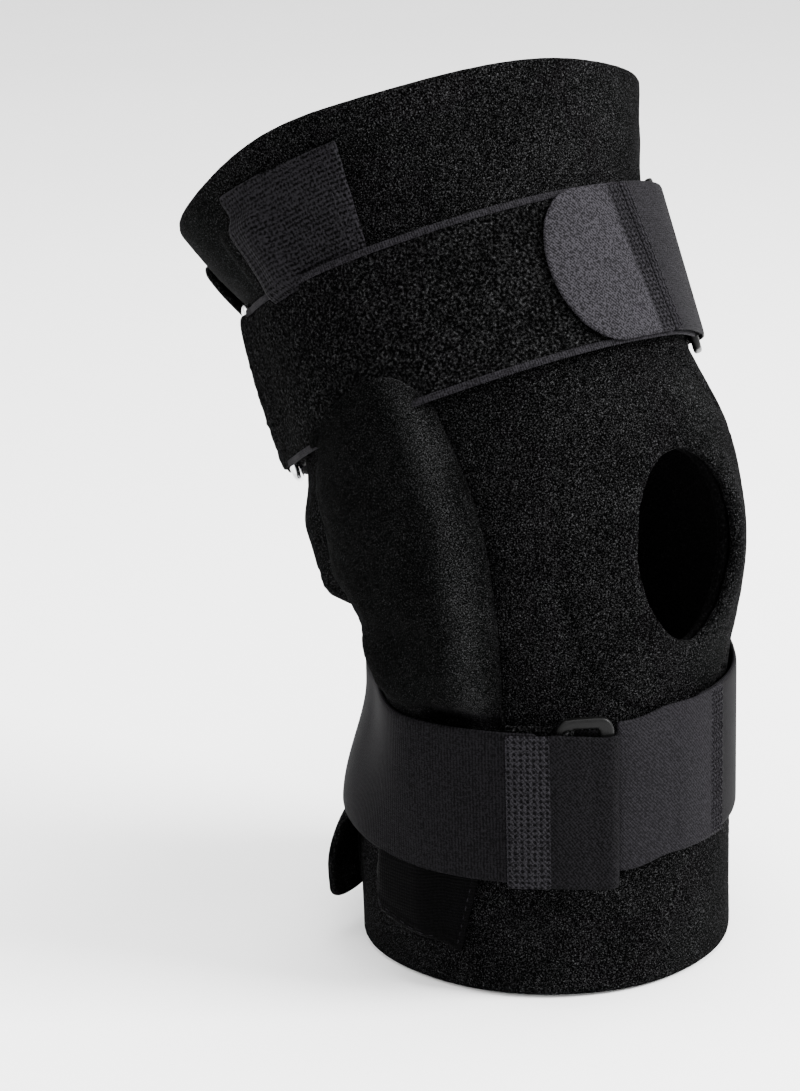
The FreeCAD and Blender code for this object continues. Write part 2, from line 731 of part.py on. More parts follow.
def upper_stay(side, angle):
    """The thigh stay: it follows the flare of the sleeve, with teeth at its lower end."""
    body = new_body(side + "_upper_stay")
    strip(body, [(INNER_STAY_FACE, "2"), (INNER_STAY_FACE, "thigh_stay_bend"),
                 ("thigh_low_radius + thigh_stay_low_stand", "thigh_front_start + 6"),
                 ("thigh_mid_radius + thigh_stay_stand", "thigh_mid_station"),
                 ("thigh_mid_radius + thigh_stay_end_stand", "upper_stay_end")])
    tooth = 360 / size("gear_teeth")
    gear_end(body, 180 - 3.5 * tooth, 8)
    body.Placement = THIGH * facing(angle)


def plate(side, angle, name, face):
    """A hinge plate with round ends, bored for both rivets."""
    body = new_body(f"{side}_{name}_plate")
    half, width = size("pivot_spacing") / 2, size("plate_width") / 2
    outline = sketch_on(body, "YZ_Plane", body.Name + "_outline", face)
    for sign, first in ((1, 0), (-1, 180)):
        arc = Part.ArcOfCircle(Part.Circle(Vector(0, sign * half, 0), Z_AXIS, width),
                               math.radians(first), math.radians(first + 180))
        outline.addGeometry(arc, False)
        outline.addGeometry(Part.LineSegment(Vector(sign * width, -half, 0),
                                             Vector(sign * width, half, 0)), False)
    pad(body, outline, "plate", body.Name + "_slab", symmetric=False)
    bores = sketch_on(body, "YZ_Plane", body.Name + "_bores")
    for sign in (1, -1):
        draw_circle(bores, (0, sign * half), "rivet_radius")
    cut_through(body, bores, body.Name + "_bored")
    body.Placement = LINK * facing(angle)


def rivet(side, angle, name, sign):
    """A headed rivet through both plates and one stay."""
    body = new_body(f"{side}_{name}_rivet")
    profile = sketch_on(body, "XZ_Plane", body.Name + "_profile")
    near, far = "hinge_inner_face", "hinge_inner_face + 2 * plate + 2 * hinge_play + stay"
    draw_outline(profile, [(near + " - rivet_head", "0"),
                           (near + " - rivet_head", "rivet_head_radius"),
                           (near, "rivet_head_radius"), (near, "rivet_radius"),
                           (far, "rivet_radius"), (far, "rivet_head_radius"),
                           (far + " + rivet_head", "rivet_head_radius"),
                           (far + " + rivet_head", "0")])
    turned = body.newObject("PartDesign::Revolution", body.Name + "_turned")
    turned.Profile = profile
    turned.ReferenceAxis = (profile, ["H_Axis"])
    turned.Angle = 360
    body.Placement = LINK * lifted(sign * size("pivot_spacing") / 2) * facing(angle)


def hinge(side, angle):
    """One side's hinge: two geared stays between two riveted plates."""
    lower_stay(side, angle)
    upper_stay(side, angle)
    plate(side, angle, "inner", "hinge_inner_face")
    plate(side, angle, "outer", INNER_STAY_FACE + " + stay + hinge_play")
    rivet(side, angle, "lower", -1)
    rivet(side, angle, "upper", 1)


# ---------------------------------------------------------------- covers and pockets

def outward(frame, angle, solid):
    """A solid whose +X side is turned to face out at this angle."""
    solid.Placement = frame * facing(angle)
    return solid


def cover_room(angle):
    """The hollow of a hinge cover: room for the plates and for both stays."""
    play = 0.5
    half = size("stay_width") / 2 + 1.0
    stay_face = size("hinge_inner_face") + size("plate") + size("hinge_play") + size("stay") + play
    calf_face = size("calf_top_radius") + size("calf_stay_stand") + size("stay") + play
    pivot = size("lower_pivot_height")
    bend = size("calf_front_height") - size("stay_bend_drop")
    plates = block(Vector(0, -size("plate_width") / 2 - 1, -20),
                   Vector(size("cover_cavity"), size("plate_width") / 2 + 1, 20))
    calf = Part.makePolygon([Vector(0, -half, 0), Vector(calf_face, -half, 0),
                             Vector(calf_face, -half, bend),
                             Vector(stay_face, -half, pivot - size("calf_stay_bend")),
                             Vector(stay_face, -half, pivot),
                             Vector(0, -half, pivot), Vector(0, -half, 0)])
    calf = Part.Face(calf).extrude(Vector(0, 2 * half, 0))
    thigh = block(Vector(0, -half, 0), Vector(stay_face, half, 60))
    return [outward(LINK, angle, plates), outward(CALF, angle, calf),
            outward(THIGH, angle, thigh)]


def cover_outline(angle, ahead):
    """The outline of a hinge cover, seen from its side: straight at the calf, full at the
    knee, and a dome at the thigh."""
    low, half, dome = size("cover_low"), size("cover_half_width"), size("cover_dome")
    out = Vector(1, 0, 0)
    dome_height = size("cover_high") - dome
    pieces = [outward(CALF, angle, block(Vector(0, -half, low),
                                         Vector(FAR, half, size("lower_pivot_height") + 10))),
              outward(LINK, angle, Part.makeCylinder(half + 1, FAR, Vector(0, ahead, 0), out)),
              outward(THIGH, angle, Part.makeCylinder(dome, FAR, Vector(0, 0, dome_height), out)),
              outward(THIGH, angle, block(Vector(0, -dome, 0), Vector(FAR, dome, dome_height)))]
    return pieces[0].multiFuse(pieces[1:])


def hinge_cover(side, angle):
    """The padded cover over a hinge: hollow for the hinge, its dome over the upper band and
    its lower end under the lower strap."""
    face, pivot = size("cover_face"), size("lower_pivot_height")
    tucked = size("calf_top_radius") + size("cover_calf")
    calf = [(tucked, 0), (tucked, size("calf_front_height") - size("stay_bend_drop")),
            (face, pivot - 22), (face, pivot + KNEE_REACH)]
    thigh = [(face, -KNEE_REACH), (face, size("thigh_front_start")),
             (size("thigh_mid_radius") + size("cover_thigh"), size("thigh_mid_station"))]
    cover = bent_solid(calf, thigh).cut(sleeve_solid(0.4))
    cover = cover.common(cover_outline(angle, math.copysign(2, angle)))
    for solid in cover_room(angle):
        cover = cover.cut(solid)
    room = size("band_room")
    outer = size("band_clearance") + size("plush") + size("binding") + room
    band_start = size("upper_strap_low") - room
    clearance = turned_shell([(size("thigh_low_radius") + outer, band_start),
                              (size("thigh_mid_radius") + outer, size("thigh_mid_station"))])
    clearance.Placement = THIGH
    cover = cover.cut(clearance)
    if side == "medial":
        cover = cover.cut(slanted(THIGH, band_start, band_start, True))
    shape_part(side + "_hinge_cover", cover)


def cone_layer(inner, outer, sweep, angle):
    """A layer between two (radius, height) lines, through a sector."""
    layer = turned_shell(outer).cut(turned_shell(inner))
    return layer.common(sector(CALF, angle, sweep))


def upper_pocket(side, stay_angle):
    """The webbing pocket over the thigh stay's end."""
    angle = math.copysign(size("upper_pocket_angle"), stay_angle)
    low, high = size("upper_pocket_low"), size("upper_pocket_high")
    mid, mid_at = size("thigh_mid_radius"), size("thigh_mid_station")
    flare = (size("thigh_hem_radius") - mid) / (size("thigh_length") - mid_at)
    stand, closed = size("pocket_stand"), size("upper_stay_end") + 2
    inner = [(mid + flare * (at - mid_at) + 0.3, at) for at in (low, high)]
    outer = [(mid + flare * (at - mid_at) + off, at)
             for at, off in ((low, stand), (closed, stand), (high, size("pocket_hem")))]
    pocket = cone_layer(inner, outer, size("upper_pocket_sweep"), angle)
    half = size("stay_width") / 2 + 0.4
    reach = size("upper_stay_end") + 0.6
    rise = size("thigh_stay_end_stand") - size("thigh_stay_stand")
    slope = rise / (size("upper_stay_end") - mid_at)
    face = mid + size("thigh_stay_stand") + size("stay") + 0.4
    slot = Part.makePolygon([Vector(0, -half, low - 1), Vector(face + slope, -half, low - 1),
                             Vector(face + slope * (reach - mid_at), -half, reach),
                             Vector(0, -half, reach), Vector(0, -half, low - 1)])
    room = Part.Face(slot).extrude(Vector(0, 2 * half, 0))
    room.Placement = facing(stay_angle)
    shape_part(side + "_upper_pocket", pocket.cut(room), THIGH)


def lower_pocket(side, stay_angle):
    """The webbing pocket over the calf stay's end."""
    angle = math.copysign(size("lower_pocket_angle"), stay_angle)
    low, high = size("lower_pocket_low"), size("lower_pocket_high")
    radius = size("hem_radius")
    inner = [(radius + 0.2, low), (radius + 0.2, high)]
    outer = [(radius + 1.4, low), (radius + size("pocket_stand"), low + 9),
             (radius + size("pocket_stand"), high)]
    pocket = cone_layer(inner, outer, size("lower_pocket_sweep"), angle)
    half = size("stay_width") / 2 + 0.4
    room = block(Vector(0, -half, size("lower_stay_end") - 0.6),
                 Vector(size("calf_top_radius") + size("calf_stay_stand") + size("stay") + 0.3,
                        half, FAR))
    room.Placement = facing(stay_angle)
    shape_part(side + "_lower_pocket", pocket.cut(room))


def check_and_write():
    """Stops on any failed object or broken shape, then writes each part's file."""
    doc.recompute()
    for item in doc.Objects:
        if "Invalid" in item.State or "Error" in item.State:
            raise RuntimeError(f"{item.Name} did not build: {item.State}")
    os.makedirs("parts", exist_ok=True)
    for part in PARTS:
        if part.Shape.isNull() or not part.Shape.isValid() or not part.Shape.Solids:
            raise RuntimeError(f"{part.Label} has no valid solid")
        part.Shape.exportStep(f"parts/{part.Label}.step")
        print(part.Label, len(part.Shape.Solids), "solid", round(part.Shape.Volume), "mm3")


calf_sleeve()
thigh_sleeve()
knee_panel()
patella_buttress()
closures()
upper_band()
upper_elastic()
rings()
upper_tab()
lower_strap()
for side_name, side_angle in SIDES.items():
    hinge(side_name, side_angle)
    hinge_cover(side_name, side_angle)
    upper_pocket(side_name, side_angle)
    lower_pocket(side_name, side_angle)
check_and_write()
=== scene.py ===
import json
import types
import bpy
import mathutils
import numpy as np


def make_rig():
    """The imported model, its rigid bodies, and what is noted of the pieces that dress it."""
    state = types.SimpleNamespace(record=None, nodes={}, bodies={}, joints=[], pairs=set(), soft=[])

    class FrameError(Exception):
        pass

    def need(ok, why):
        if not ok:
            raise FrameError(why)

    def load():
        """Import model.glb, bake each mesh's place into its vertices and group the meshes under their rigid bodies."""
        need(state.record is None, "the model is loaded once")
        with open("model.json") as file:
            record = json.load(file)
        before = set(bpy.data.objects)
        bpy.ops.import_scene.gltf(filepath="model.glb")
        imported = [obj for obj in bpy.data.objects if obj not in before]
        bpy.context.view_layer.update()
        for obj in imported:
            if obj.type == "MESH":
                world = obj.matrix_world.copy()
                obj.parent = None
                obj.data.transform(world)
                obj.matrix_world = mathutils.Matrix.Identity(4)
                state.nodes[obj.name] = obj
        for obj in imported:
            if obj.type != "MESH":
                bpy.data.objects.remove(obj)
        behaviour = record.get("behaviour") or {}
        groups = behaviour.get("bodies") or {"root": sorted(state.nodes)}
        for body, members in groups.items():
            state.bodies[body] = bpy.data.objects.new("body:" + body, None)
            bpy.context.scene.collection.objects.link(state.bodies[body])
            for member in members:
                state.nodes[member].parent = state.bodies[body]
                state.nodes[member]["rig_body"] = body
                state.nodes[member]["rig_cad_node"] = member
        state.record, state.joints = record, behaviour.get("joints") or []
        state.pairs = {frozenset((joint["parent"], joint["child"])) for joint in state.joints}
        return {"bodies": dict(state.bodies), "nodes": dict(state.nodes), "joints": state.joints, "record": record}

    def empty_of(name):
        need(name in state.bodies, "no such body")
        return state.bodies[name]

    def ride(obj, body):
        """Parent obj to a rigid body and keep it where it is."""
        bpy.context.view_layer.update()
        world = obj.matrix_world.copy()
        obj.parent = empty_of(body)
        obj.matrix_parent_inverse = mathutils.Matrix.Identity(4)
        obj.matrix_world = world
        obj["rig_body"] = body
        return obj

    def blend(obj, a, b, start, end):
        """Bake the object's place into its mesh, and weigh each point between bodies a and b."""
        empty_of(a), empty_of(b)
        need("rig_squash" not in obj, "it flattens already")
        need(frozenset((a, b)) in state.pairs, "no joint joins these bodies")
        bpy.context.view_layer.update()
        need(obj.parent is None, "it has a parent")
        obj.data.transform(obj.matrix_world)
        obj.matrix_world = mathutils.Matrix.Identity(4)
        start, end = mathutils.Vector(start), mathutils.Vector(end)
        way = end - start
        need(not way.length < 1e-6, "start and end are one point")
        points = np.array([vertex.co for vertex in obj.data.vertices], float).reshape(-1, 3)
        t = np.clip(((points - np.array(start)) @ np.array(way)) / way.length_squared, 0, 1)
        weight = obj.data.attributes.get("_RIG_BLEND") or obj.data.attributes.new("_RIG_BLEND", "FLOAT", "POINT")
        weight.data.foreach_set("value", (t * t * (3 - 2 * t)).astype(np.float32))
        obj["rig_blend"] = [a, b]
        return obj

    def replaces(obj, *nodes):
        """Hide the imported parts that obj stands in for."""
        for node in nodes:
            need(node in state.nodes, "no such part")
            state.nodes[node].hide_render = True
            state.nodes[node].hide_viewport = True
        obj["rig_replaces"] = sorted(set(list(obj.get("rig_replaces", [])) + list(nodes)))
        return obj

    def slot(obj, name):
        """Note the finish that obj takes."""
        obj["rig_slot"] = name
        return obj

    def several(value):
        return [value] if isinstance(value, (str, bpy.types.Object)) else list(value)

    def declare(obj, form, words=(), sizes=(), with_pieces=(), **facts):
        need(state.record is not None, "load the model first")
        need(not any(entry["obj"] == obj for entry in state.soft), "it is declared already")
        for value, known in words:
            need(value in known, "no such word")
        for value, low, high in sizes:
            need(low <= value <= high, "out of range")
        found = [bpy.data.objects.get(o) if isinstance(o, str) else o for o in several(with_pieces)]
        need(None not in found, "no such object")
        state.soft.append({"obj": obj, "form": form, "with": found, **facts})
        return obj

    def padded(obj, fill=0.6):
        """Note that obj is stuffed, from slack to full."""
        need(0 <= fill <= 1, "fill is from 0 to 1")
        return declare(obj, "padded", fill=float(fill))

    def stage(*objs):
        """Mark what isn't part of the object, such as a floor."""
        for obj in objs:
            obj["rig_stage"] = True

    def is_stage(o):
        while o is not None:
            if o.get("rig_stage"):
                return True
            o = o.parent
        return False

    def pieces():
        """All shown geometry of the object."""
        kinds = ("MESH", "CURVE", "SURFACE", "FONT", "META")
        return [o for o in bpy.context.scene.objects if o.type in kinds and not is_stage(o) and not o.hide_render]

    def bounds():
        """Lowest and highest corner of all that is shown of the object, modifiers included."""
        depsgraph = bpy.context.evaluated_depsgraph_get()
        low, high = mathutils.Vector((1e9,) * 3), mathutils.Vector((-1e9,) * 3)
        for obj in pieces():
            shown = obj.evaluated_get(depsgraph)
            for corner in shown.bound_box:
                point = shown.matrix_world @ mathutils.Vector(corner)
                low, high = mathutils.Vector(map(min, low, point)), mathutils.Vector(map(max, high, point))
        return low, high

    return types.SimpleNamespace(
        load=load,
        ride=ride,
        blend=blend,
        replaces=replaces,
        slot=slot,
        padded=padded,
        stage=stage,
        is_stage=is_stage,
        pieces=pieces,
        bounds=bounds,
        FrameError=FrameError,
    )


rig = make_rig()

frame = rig.load()

import json
import math

import bmesh
import bpy
import numpy as np
from mathutils import Quaternion, Vector, noise

cad_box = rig.bounds()

MM = 0.001

# ---- the leg that the brace is shaped to
# A station s runs up the leg from the hem, in millimetres. An angle phi turns from the front
# (0) to the outer side (90). x is to the leg's inner side and y to the back.

JOINTS = {joint["name"]: joint for joint in frame["joints"]}
UPPER_PIVOT = Vector(JOINTS["lateral_upper_pivot"]["pos_m"]) / MM
LEAN = math.radians(30)                                       # the flexion at rest
KNEE_Z = UPPER_PIVOT.z - UPPER_PIVOT.y / math.tan(LEAN)       # where the two axes meet
BEND_TANGENT = 36.0                                           # the bend's reach from there
BEND_RADIUS = BEND_TANGENT / math.tan(LEAN / 2)
BEND_LOW = KNEE_Z - BEND_TANGENT
BEND_HIGH = BEND_LOW + BEND_RADIUS * LEAN
MIDDLE = (BEND_LOW + BEND_HIGH) / 2                           # the hinges' middle plane
THIGH_ZERO = BEND_HIGH - (BEND_TANGENT - UPPER_PIVOT.y / math.sin(LEAN))
THIGH_LENGTH = 123.0
LEG_TOP = THIGH_ZERO + THIGH_LENGTH


def section(s, x, y):
    """A point in metres, from a place in the section of the leg at station s."""
    turn = min(max((s - BEND_LOW) / BEND_RADIUS, 0.0), LEAN)
    back, up = 0.0, min(s, BEND_LOW)
    if turn > 0:
        back = BEND_RADIUS * (1 - math.cos(turn))
        up = BEND_LOW + BEND_RADIUS * math.sin(turn)
    if s > BEND_HIGH:
        back += (s - BEND_HIGH) * math.sin(LEAN)
        up += (s - BEND_HIGH) * math.cos(LEAN)
    return Vector((x, back + y * math.cos(turn), up - y * math.sin(turn))) * MM


def around(phi, r, back=0.0):
    """The section place at angle phi and radius r, about an axis set back by back."""
    angle = math.radians(phi)
    return -r * math.sin(angle), -r * math.cos(angle) + back


def leg(s, phi, r):
    return section(s, *around(phi, r))


def thigh(station):
    """The leg station of a station measured from the upper pivot."""
    return THIGH_ZERO + station


def blurred(points, spread):
    """A smooth curve through (at, value) points, as a function."""
    at = np.arange(points[0][0] - 40, points[-1][0] + 40, 1.0)
    xs, ys = zip(*points)
    low = (ys[1] - ys[0]) / (xs[1] - xs[0])
    high = (ys[-1] - ys[-2]) / (xs[-1] - xs[-2])
    values = np.interp(at, xs, ys)
    values = np.where(at < xs[0], ys[0] + (at - xs[0]) * low, values)
    values = np.where(at > xs[-1], ys[-1] + (at - xs[-1]) * high, values)
    kernel = np.exp(-0.5 * (np.arange(-3 * spread, 3 * spread + 1) / spread) ** 2)
    padded = np.pad(values, len(kernel) // 2, mode="edge")
    smooth = np.convolve(padded, kernel / kernel.sum(), mode="valid")
    return lambda x: float(np.interp(x, at, smooth))


NEOPRENE = 4.0                                      # the sleeve's thickness
MEAN_RADIUS = 62.0
PHI_MM = math.radians(1) * MEAN_RADIUS              # mm of sleeve in a degree, for the flat cut
sleeve_line = blurred([(0, 60.0), (100, 58.6), (134, 62.5), (thigh(0), 62.5), (thigh(35), 64.5),
                       (thigh(87), 67.0), (thigh(THIGH_LENGTH), 79.0)], 6)


def bell(x, spread):
    return math.exp(-(x / spread) ** 2)


def smooth(x):
    """0 below 0, 1 above 1, and a smooth step between."""
    x = min(max(x, 0.0), 1.0)
    return x * x * (3 - 2 * x)


def plateau(x, flat, fall):
    """1 within flat of 0, then down to 0 over fall."""
    return smooth((flat + fall - abs(x)) / fall)


def stay_channel(s, phi):
    """How far the sleeve stands out over a stay: up the calf, and past the upper strap."""
    beside = plateau(abs(phi) - 90, 7.5, 5.5)
    calf = 5.4 * smooth((s - 14) / 7) * smooth((122 - s) / 10)
    thigh_end = 4.6 * smooth((s - thigh(76)) / 8) * smooth((thigh(111) - s) / 6)
    return beside * (calf + thigh_end)


def behind_knee(phi):
    """1 at the back of the leg, and 0 from side to side in front."""
    return smooth((abs((phi + 180) % 360 - 180) - 84) / 34)


# the sleeve's bulges and hollows: height, then angle, width, station and length
BULGES = ((6.5, -6, 42, 136, 24),                                       # the kneecap
          (2.5, -44, 26, 154, 12), (1.8, -44, 26, 126, 22),             # on its inner side
          (1.2, 124, 32, 34, 16),                                       # the calf
          (-2.2, -45, 16, 182, 12), (-2.8, 131, 20, 236, 12))           # pressed in by the rings


def sleeve_radius(s, phi):
    """The sleeve's outer face, with the kneecap under it."""
    bulges = sum(height * bell(phi - angle, width) * bell(s - station, length)
                 for height, angle, width, station, length in BULGES)
    calf = 3.4 * bell(phi - 124, 32) * smooth((66 - s) / 40)
    pressed = 3.6 * behind_knee(phi) * smooth((s - 56) / 24) * smooth((110 - s) / 14)
    return sleeve_line(s) + bulges + calf - pressed + stay_channel(s, phi)


def hem_rise(phi):
    """How far the upper hem stands above its mean height."""
    return 4.5 * bell(phi - 71, 25) - 8.5 * bell(phi + 40, 45)


def off_sleeve(u, v, gap):
    """The place gap mm outside the sleeve, where the flat cut's (u, v) comes."""
    phi = u / PHI_MM
    return leg(v, phi, sleeve_radius(v, phi) + gap)


# ---- flat cuts and sewn shapes

def box_cut(u, v, centre, half, corner):
    """How far (u, v) is inside a rectangle with rounded corners."""
    du = abs(u - centre[0]) - half[0] + corner
    dv = abs(v - centre[1]) - half[1] + corner
    outside = math.hypot(max(du, 0.0), max(dv, 0.0))
    return corner - outside - min(max(du, dv), 0.0)


def outline_cut(points):
    """How far a place is inside a closed line of (u, v) points."""
    a = np.array(points, float)
    b = np.roll(a, -1, axis=0)
    ab = b - a

    def inside(u, v):
        p = np.array((u, v)) - a
        t = np.clip((p * ab).sum(1) / (ab * ab).sum(1), 0, 1)
        gap = np.hypot(*(p - ab * t[:, None]).T).min()
        crossing = (a[:, 1] > v) != (b[:, 1] > v)
        at = a[:, 0] + (v - a[:, 1]) / np.where(ab[:, 1] == 0, 1e-9, ab[:, 1]) * ab[:, 0]
        odd = np.count_nonzero(crossing & (u < at)) % 2
        return float(gap if odd else -gap)

    return inside


def between(p, t):
    """The smooth curve through four points, from the second, at t = 0, to the third."""
    return 0.5 * (2 * p[1] + (p[2] - p[0]) * t + (2 * p[0] - 5 * p[1] + 4 * p[2] - p[3]) * t * t
                  + (3 * p[1] - p[0] - 3 * p[2] + p[3]) * t ** 3)


def rounded_line(points, steps=6):
    """A closed smooth line through points."""
    made = []
    for i in range(len(points)):
        p = [Vector(points[(i + k) % len(points)]) for k in (-1, 0, 1, 2)]
        made += [tuple(between(p, j / steps)) for j in range(steps)]
    return made


def flat_cut(us, vs, step, keep=None):
    """A flat grid over us and vs, trimmed where keep(u, v) is negative."""
    bm = bmesh.new()
    nu = max(2, round((us[1] - us[0]) / step))
    nv = max(2, round((vs[1] - vs[0]) / step))
    grid = [[bm.verts.new((us[0] + (us[1] - us[0]) * i / nu, vs[0] + (vs[1] - vs[0]) * j / nv, 0))
             for j in range(nv + 1)] for i in range(nu + 1)]
    for i in range(nu):
        for j in range(nv):
            bm.faces.new((grid[i][j], grid[i + 1][j], grid[i + 1][j + 1], grid[i][j + 1]))
    if keep is None:
        return bm
    value = {}
    for vert in bm.verts:
        u, v = vert.co.x, vert.co.y
        value[vert] = keep(u, v)
        if abs(value[vert]) < 0.4 * step:
            slope = Vector((keep(u + 0.1, v) - keep(u - 0.1, v), keep(u, v + 0.1) - keep(u, v - 0.1)))
            if slope.length > 1e-6:
                slope = slope * 5
                move = slope * (value[vert] / slope.length_squared)
                if move.length < 0.6 * step:
                    vert.co.x -= move.x
                    vert.co.y -= move.y
                    value[vert] = 0.0
    for edge in list(bm.edges):
        a, b = edge.verts
        if value[a] * value[b] < 0:
            _, made = bmesh.utils.edge_split(edge, a, value[a] / (value[a] - value[b]))
            value[made] = 0.0
    on_line = [vert for vert in bm.verts if value[vert] == 0.0]
    bmesh.ops.connect_verts(bm, verts=on_line)
    gone = [face for face in bm.faces
            if min(value[vert] for vert in face.verts) < 0
            or (all(value[vert] == 0.0 for vert in face.verts)
                and keep(*face.calc_center_median().xy) < 0)]
    bmesh.ops.delete(bm, geom=gone, context="FACES")
    bmesh.ops.delete(bm, geom=[vert for vert in bm.verts if not vert.link_faces], context="VERTS")
    return bm


def shown(name, mesh):
    piece = bpy.data.objects.new(name, mesh)
    bpy.context.scene.collection.objects.link(piece)
    return piece


def closed_piece(name, bm):
    """The object of a closed bmesh, its faces turned outward and shaded smooth."""
    bmesh.ops.recalc_face_normals(bm, faces=bm.faces)
    for face in bm.faces:
        face.smooth = True
    mesh = bpy.data.meshes.new(name)
    bm.to_mesh(mesh)
    bm.free()
    return shown(name, mesh)


def sewn(name, flat, place, levels=1, detail=None):
    """A closed layer of cloth, subdivided. place(u, v, depth) lays the flat cut's outer face at
    depth 0 and its inner one, in the second material, at depth 1. detail(u, v, depth) is mm along
    the normals. Its UVs are the flat cut's places, in metres."""
    bm = bmesh.new()
    sides = []
    spots = bm.verts.layers.float_vector.new("flat")
    uv = bm.loops.layers.uv.new("Cloth")
    for depth in (0, 1):
        verts = {}
        for vert in flat.verts:
            made = bm.verts.new(place(vert.co.x, vert.co.y, depth))
            made[spots] = (vert.co.x, vert.co.y, depth)
            verts[vert] = made
        sides.append(verts)
    for face in flat.faces:
        bm.faces.new([sides[0][v] for v in face.verts])
        bm.faces.new([sides[1][v] for v in reversed(face.verts)]).material_index = 1
    for edge in flat.edges:
        if len(edge.link_faces) == 1:
            a, b = edge.verts
            bm.faces.new((sides[0][b], sides[0][a], sides[1][a], sides[1][b]))
    flat.free()
    for face in bm.faces:
        for loop in face.loops:
            u, v, _ = loop.vert[spots]
            loop[uv].uv = (u * MM, v * MM)
    piece = closed_piece(name, bm)
    subdivide(piece, levels)
    if detail:
        raise_detail(piece, detail)
    return piece


def subdivide(piece, levels):
    modifier = piece.modifiers.new("Subdivision", "SUBSURF")
    modifier.levels = levels
    modifier.render_levels = levels
    settle(piece)


def settle(piece):
    """Applies the piece's modifiers."""
    graph = bpy.context.evaluated_depsgraph_get()
    made = bpy.data.meshes.new_from_object(piece.evaluated_get(graph), preserve_all_data_layers=True,
                                           depsgraph=graph)
    old = piece.data
    piece.modifiers.clear()
    piece.data = made
    made.name = old.name
    bpy.data.meshes.remove(old)


def flat_places(mesh):
    places = np.zeros(len(mesh.vertices) * 3, np.float32)
    mesh.attributes["flat"].data.foreach_get("vector", places)
    return places.reshape(-1, 3)


def raise_detail(piece, detail):
    mesh = piece.data
    places = flat_places(mesh)
    normals = [vert.normal.copy() for vert in mesh.vertices]
    for vert, normal, (u, v, depth) in zip(mesh.vertices, normals, places):
        vert.co += normal * (detail(u, v, depth) * MM)
    mesh.update()


def parted(piece, part_of, names):
    """Splits a piece into one object for each name, by part_of(u, v) of each face, and keeps
    the whole piece's shading across the cuts."""
    mesh = piece.data
    places = flat_places(mesh)
    normals = mesh.attributes.new("whole", "FLOAT_VECTOR", "POINT")
    normals.data.foreach_set("vector", np.ravel([vert.normal for vert in mesh.vertices]))
    kinds = []
    for face in mesh.polygons:
        u, v, _ = places[list(face.vertices)].mean(axis=0)
        kinds.append(part_of(float(u), float(v)))
    made = []
    for number, name in enumerate(names):
        part = bmesh.new()
        part.from_mesh(mesh)
        gone = [face for face, kind in zip(part.faces, kinds) if kind != number]
        bmesh.ops.delete(part, geom=gone, context="FACES")
        new = bpy.data.meshes.new(name)
        part.to_mesh(new)
        part.free()
        kept = [tuple(spot.vector) for spot in new.attributes["whole"].data]
        new.attributes.remove(new.attributes["whole"])
        new.normals_split_custom_set_from_vertices(kept)
        for slot in mesh.materials:
            new.materials.append(slot)
        made.append(shown(name, new))
    bpy.data.objects.remove(piece)
    bpy.data.meshes.remove(mesh)
    return made


def middle_line(low, high):
    """The stretch from low to high along the direction in which the middle plane faces."""
    facing = (section(MIDDLE + 1, 0, 0) - section(MIDDLE - 1, 0, 0)).normalized()
    at = section(MIDDLE, 0, 0)
    return at + facing * low * MM, at + facing * high * MM


KNEE_REACH, KNEE_STILL = 42.0, 0.8


def over_knee(piece_low, piece_high):
    """The two halves of a piece that crosses the knee. Both follow the link where they meet."""
    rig.blend(piece_low, "calf", "lateral_link", *middle_line(-KNEE_REACH, -KNEE_STILL))
    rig.blend(piece_high, "lateral_link", "thigh", *middle_line(KNEE_STILL, KNEE_REACH))


# ---- materials

def new_material(name):
    material = bpy.data.materials.new(name)
    material.use_nodes = True
    tree = material.node_tree
    return material, tree, tree.nodes["Principled BSDF"]


def plug(tree, made, inputs):
    """Links or sets a node's inputs."""
    for key, value in inputs.items():
        if isinstance(value, bpy.types.NodeSocket):
            tree.links.new(value, made.inputs[key])
        else:
            made.inputs[key].default_value = value
    return made


def node(tree, kind, inputs=(), **settings):
    made = tree.nodes.new(kind)
    for word, value in settings.items():
        setattr(made, word, value)
    return plug(tree, made, dict(inputs))


def maths(tree, operation, a, b=0.0, clamp=False):
    return node(tree, "ShaderNodeMath", {0: a, 1: b}, operation=operation,
                use_clamp=clamp).outputs[0]


def unevenness(tree, tone, fac, gain):
    """A tone, made lighter and darker by a noise's factor."""
    return maths(tree, "ADD", tone, maths(tree, "MULTIPLY", maths(tree, "SUBTRACT", fac, 0.5), gain))


def ramp(tree, factor, stops):
    """A colour ramp through (position, colour) stops."""
    made = node(tree, "ShaderNodeValToRGB", {"Fac": factor})
    elements = made.color_ramp.elements
    while len(elements) < len(stops):
        elements.new(0.5)
    for element, (position, colour) in zip(elements, stops):
        element.position = position
        element.color = (*colour, 1.0)
    return made.outputs["Color"]


NEUTRAL = (1.0, 1.0, 1.0)
BLACK_CLOTH = (1.0, 1.0, 1.03)
DYED_WEB = (1.06, 1.0, 1.15)


def grey(level, hue=NEUTRAL):
    return tuple(level * share for share in hue)


def object_places(tree):
    return node(tree, "ShaderNodeTexCoord").outputs["Object"]


def grain(tree, places, scale, detail=2.0, roughness=0.6):
    return node(tree, "ShaderNodeTexNoise", {"Vector": places, "Scale": scale, "Detail": detail,
                                             "Roughness": roughness}).outputs["Fac"]


def bump(tree, height, distance, strength=1.0, after=None):
    inputs = {"Height": height, "Distance": distance, "Strength": strength}
    if after is not None:
        inputs["Normal"] = after
    return node(tree, "ShaderNodeBump", inputs).outputs["Normal"]


# how much a painted highlight lightens the pile's colour along a ridge
RIDGE_HIGHLIGHT = 0.07


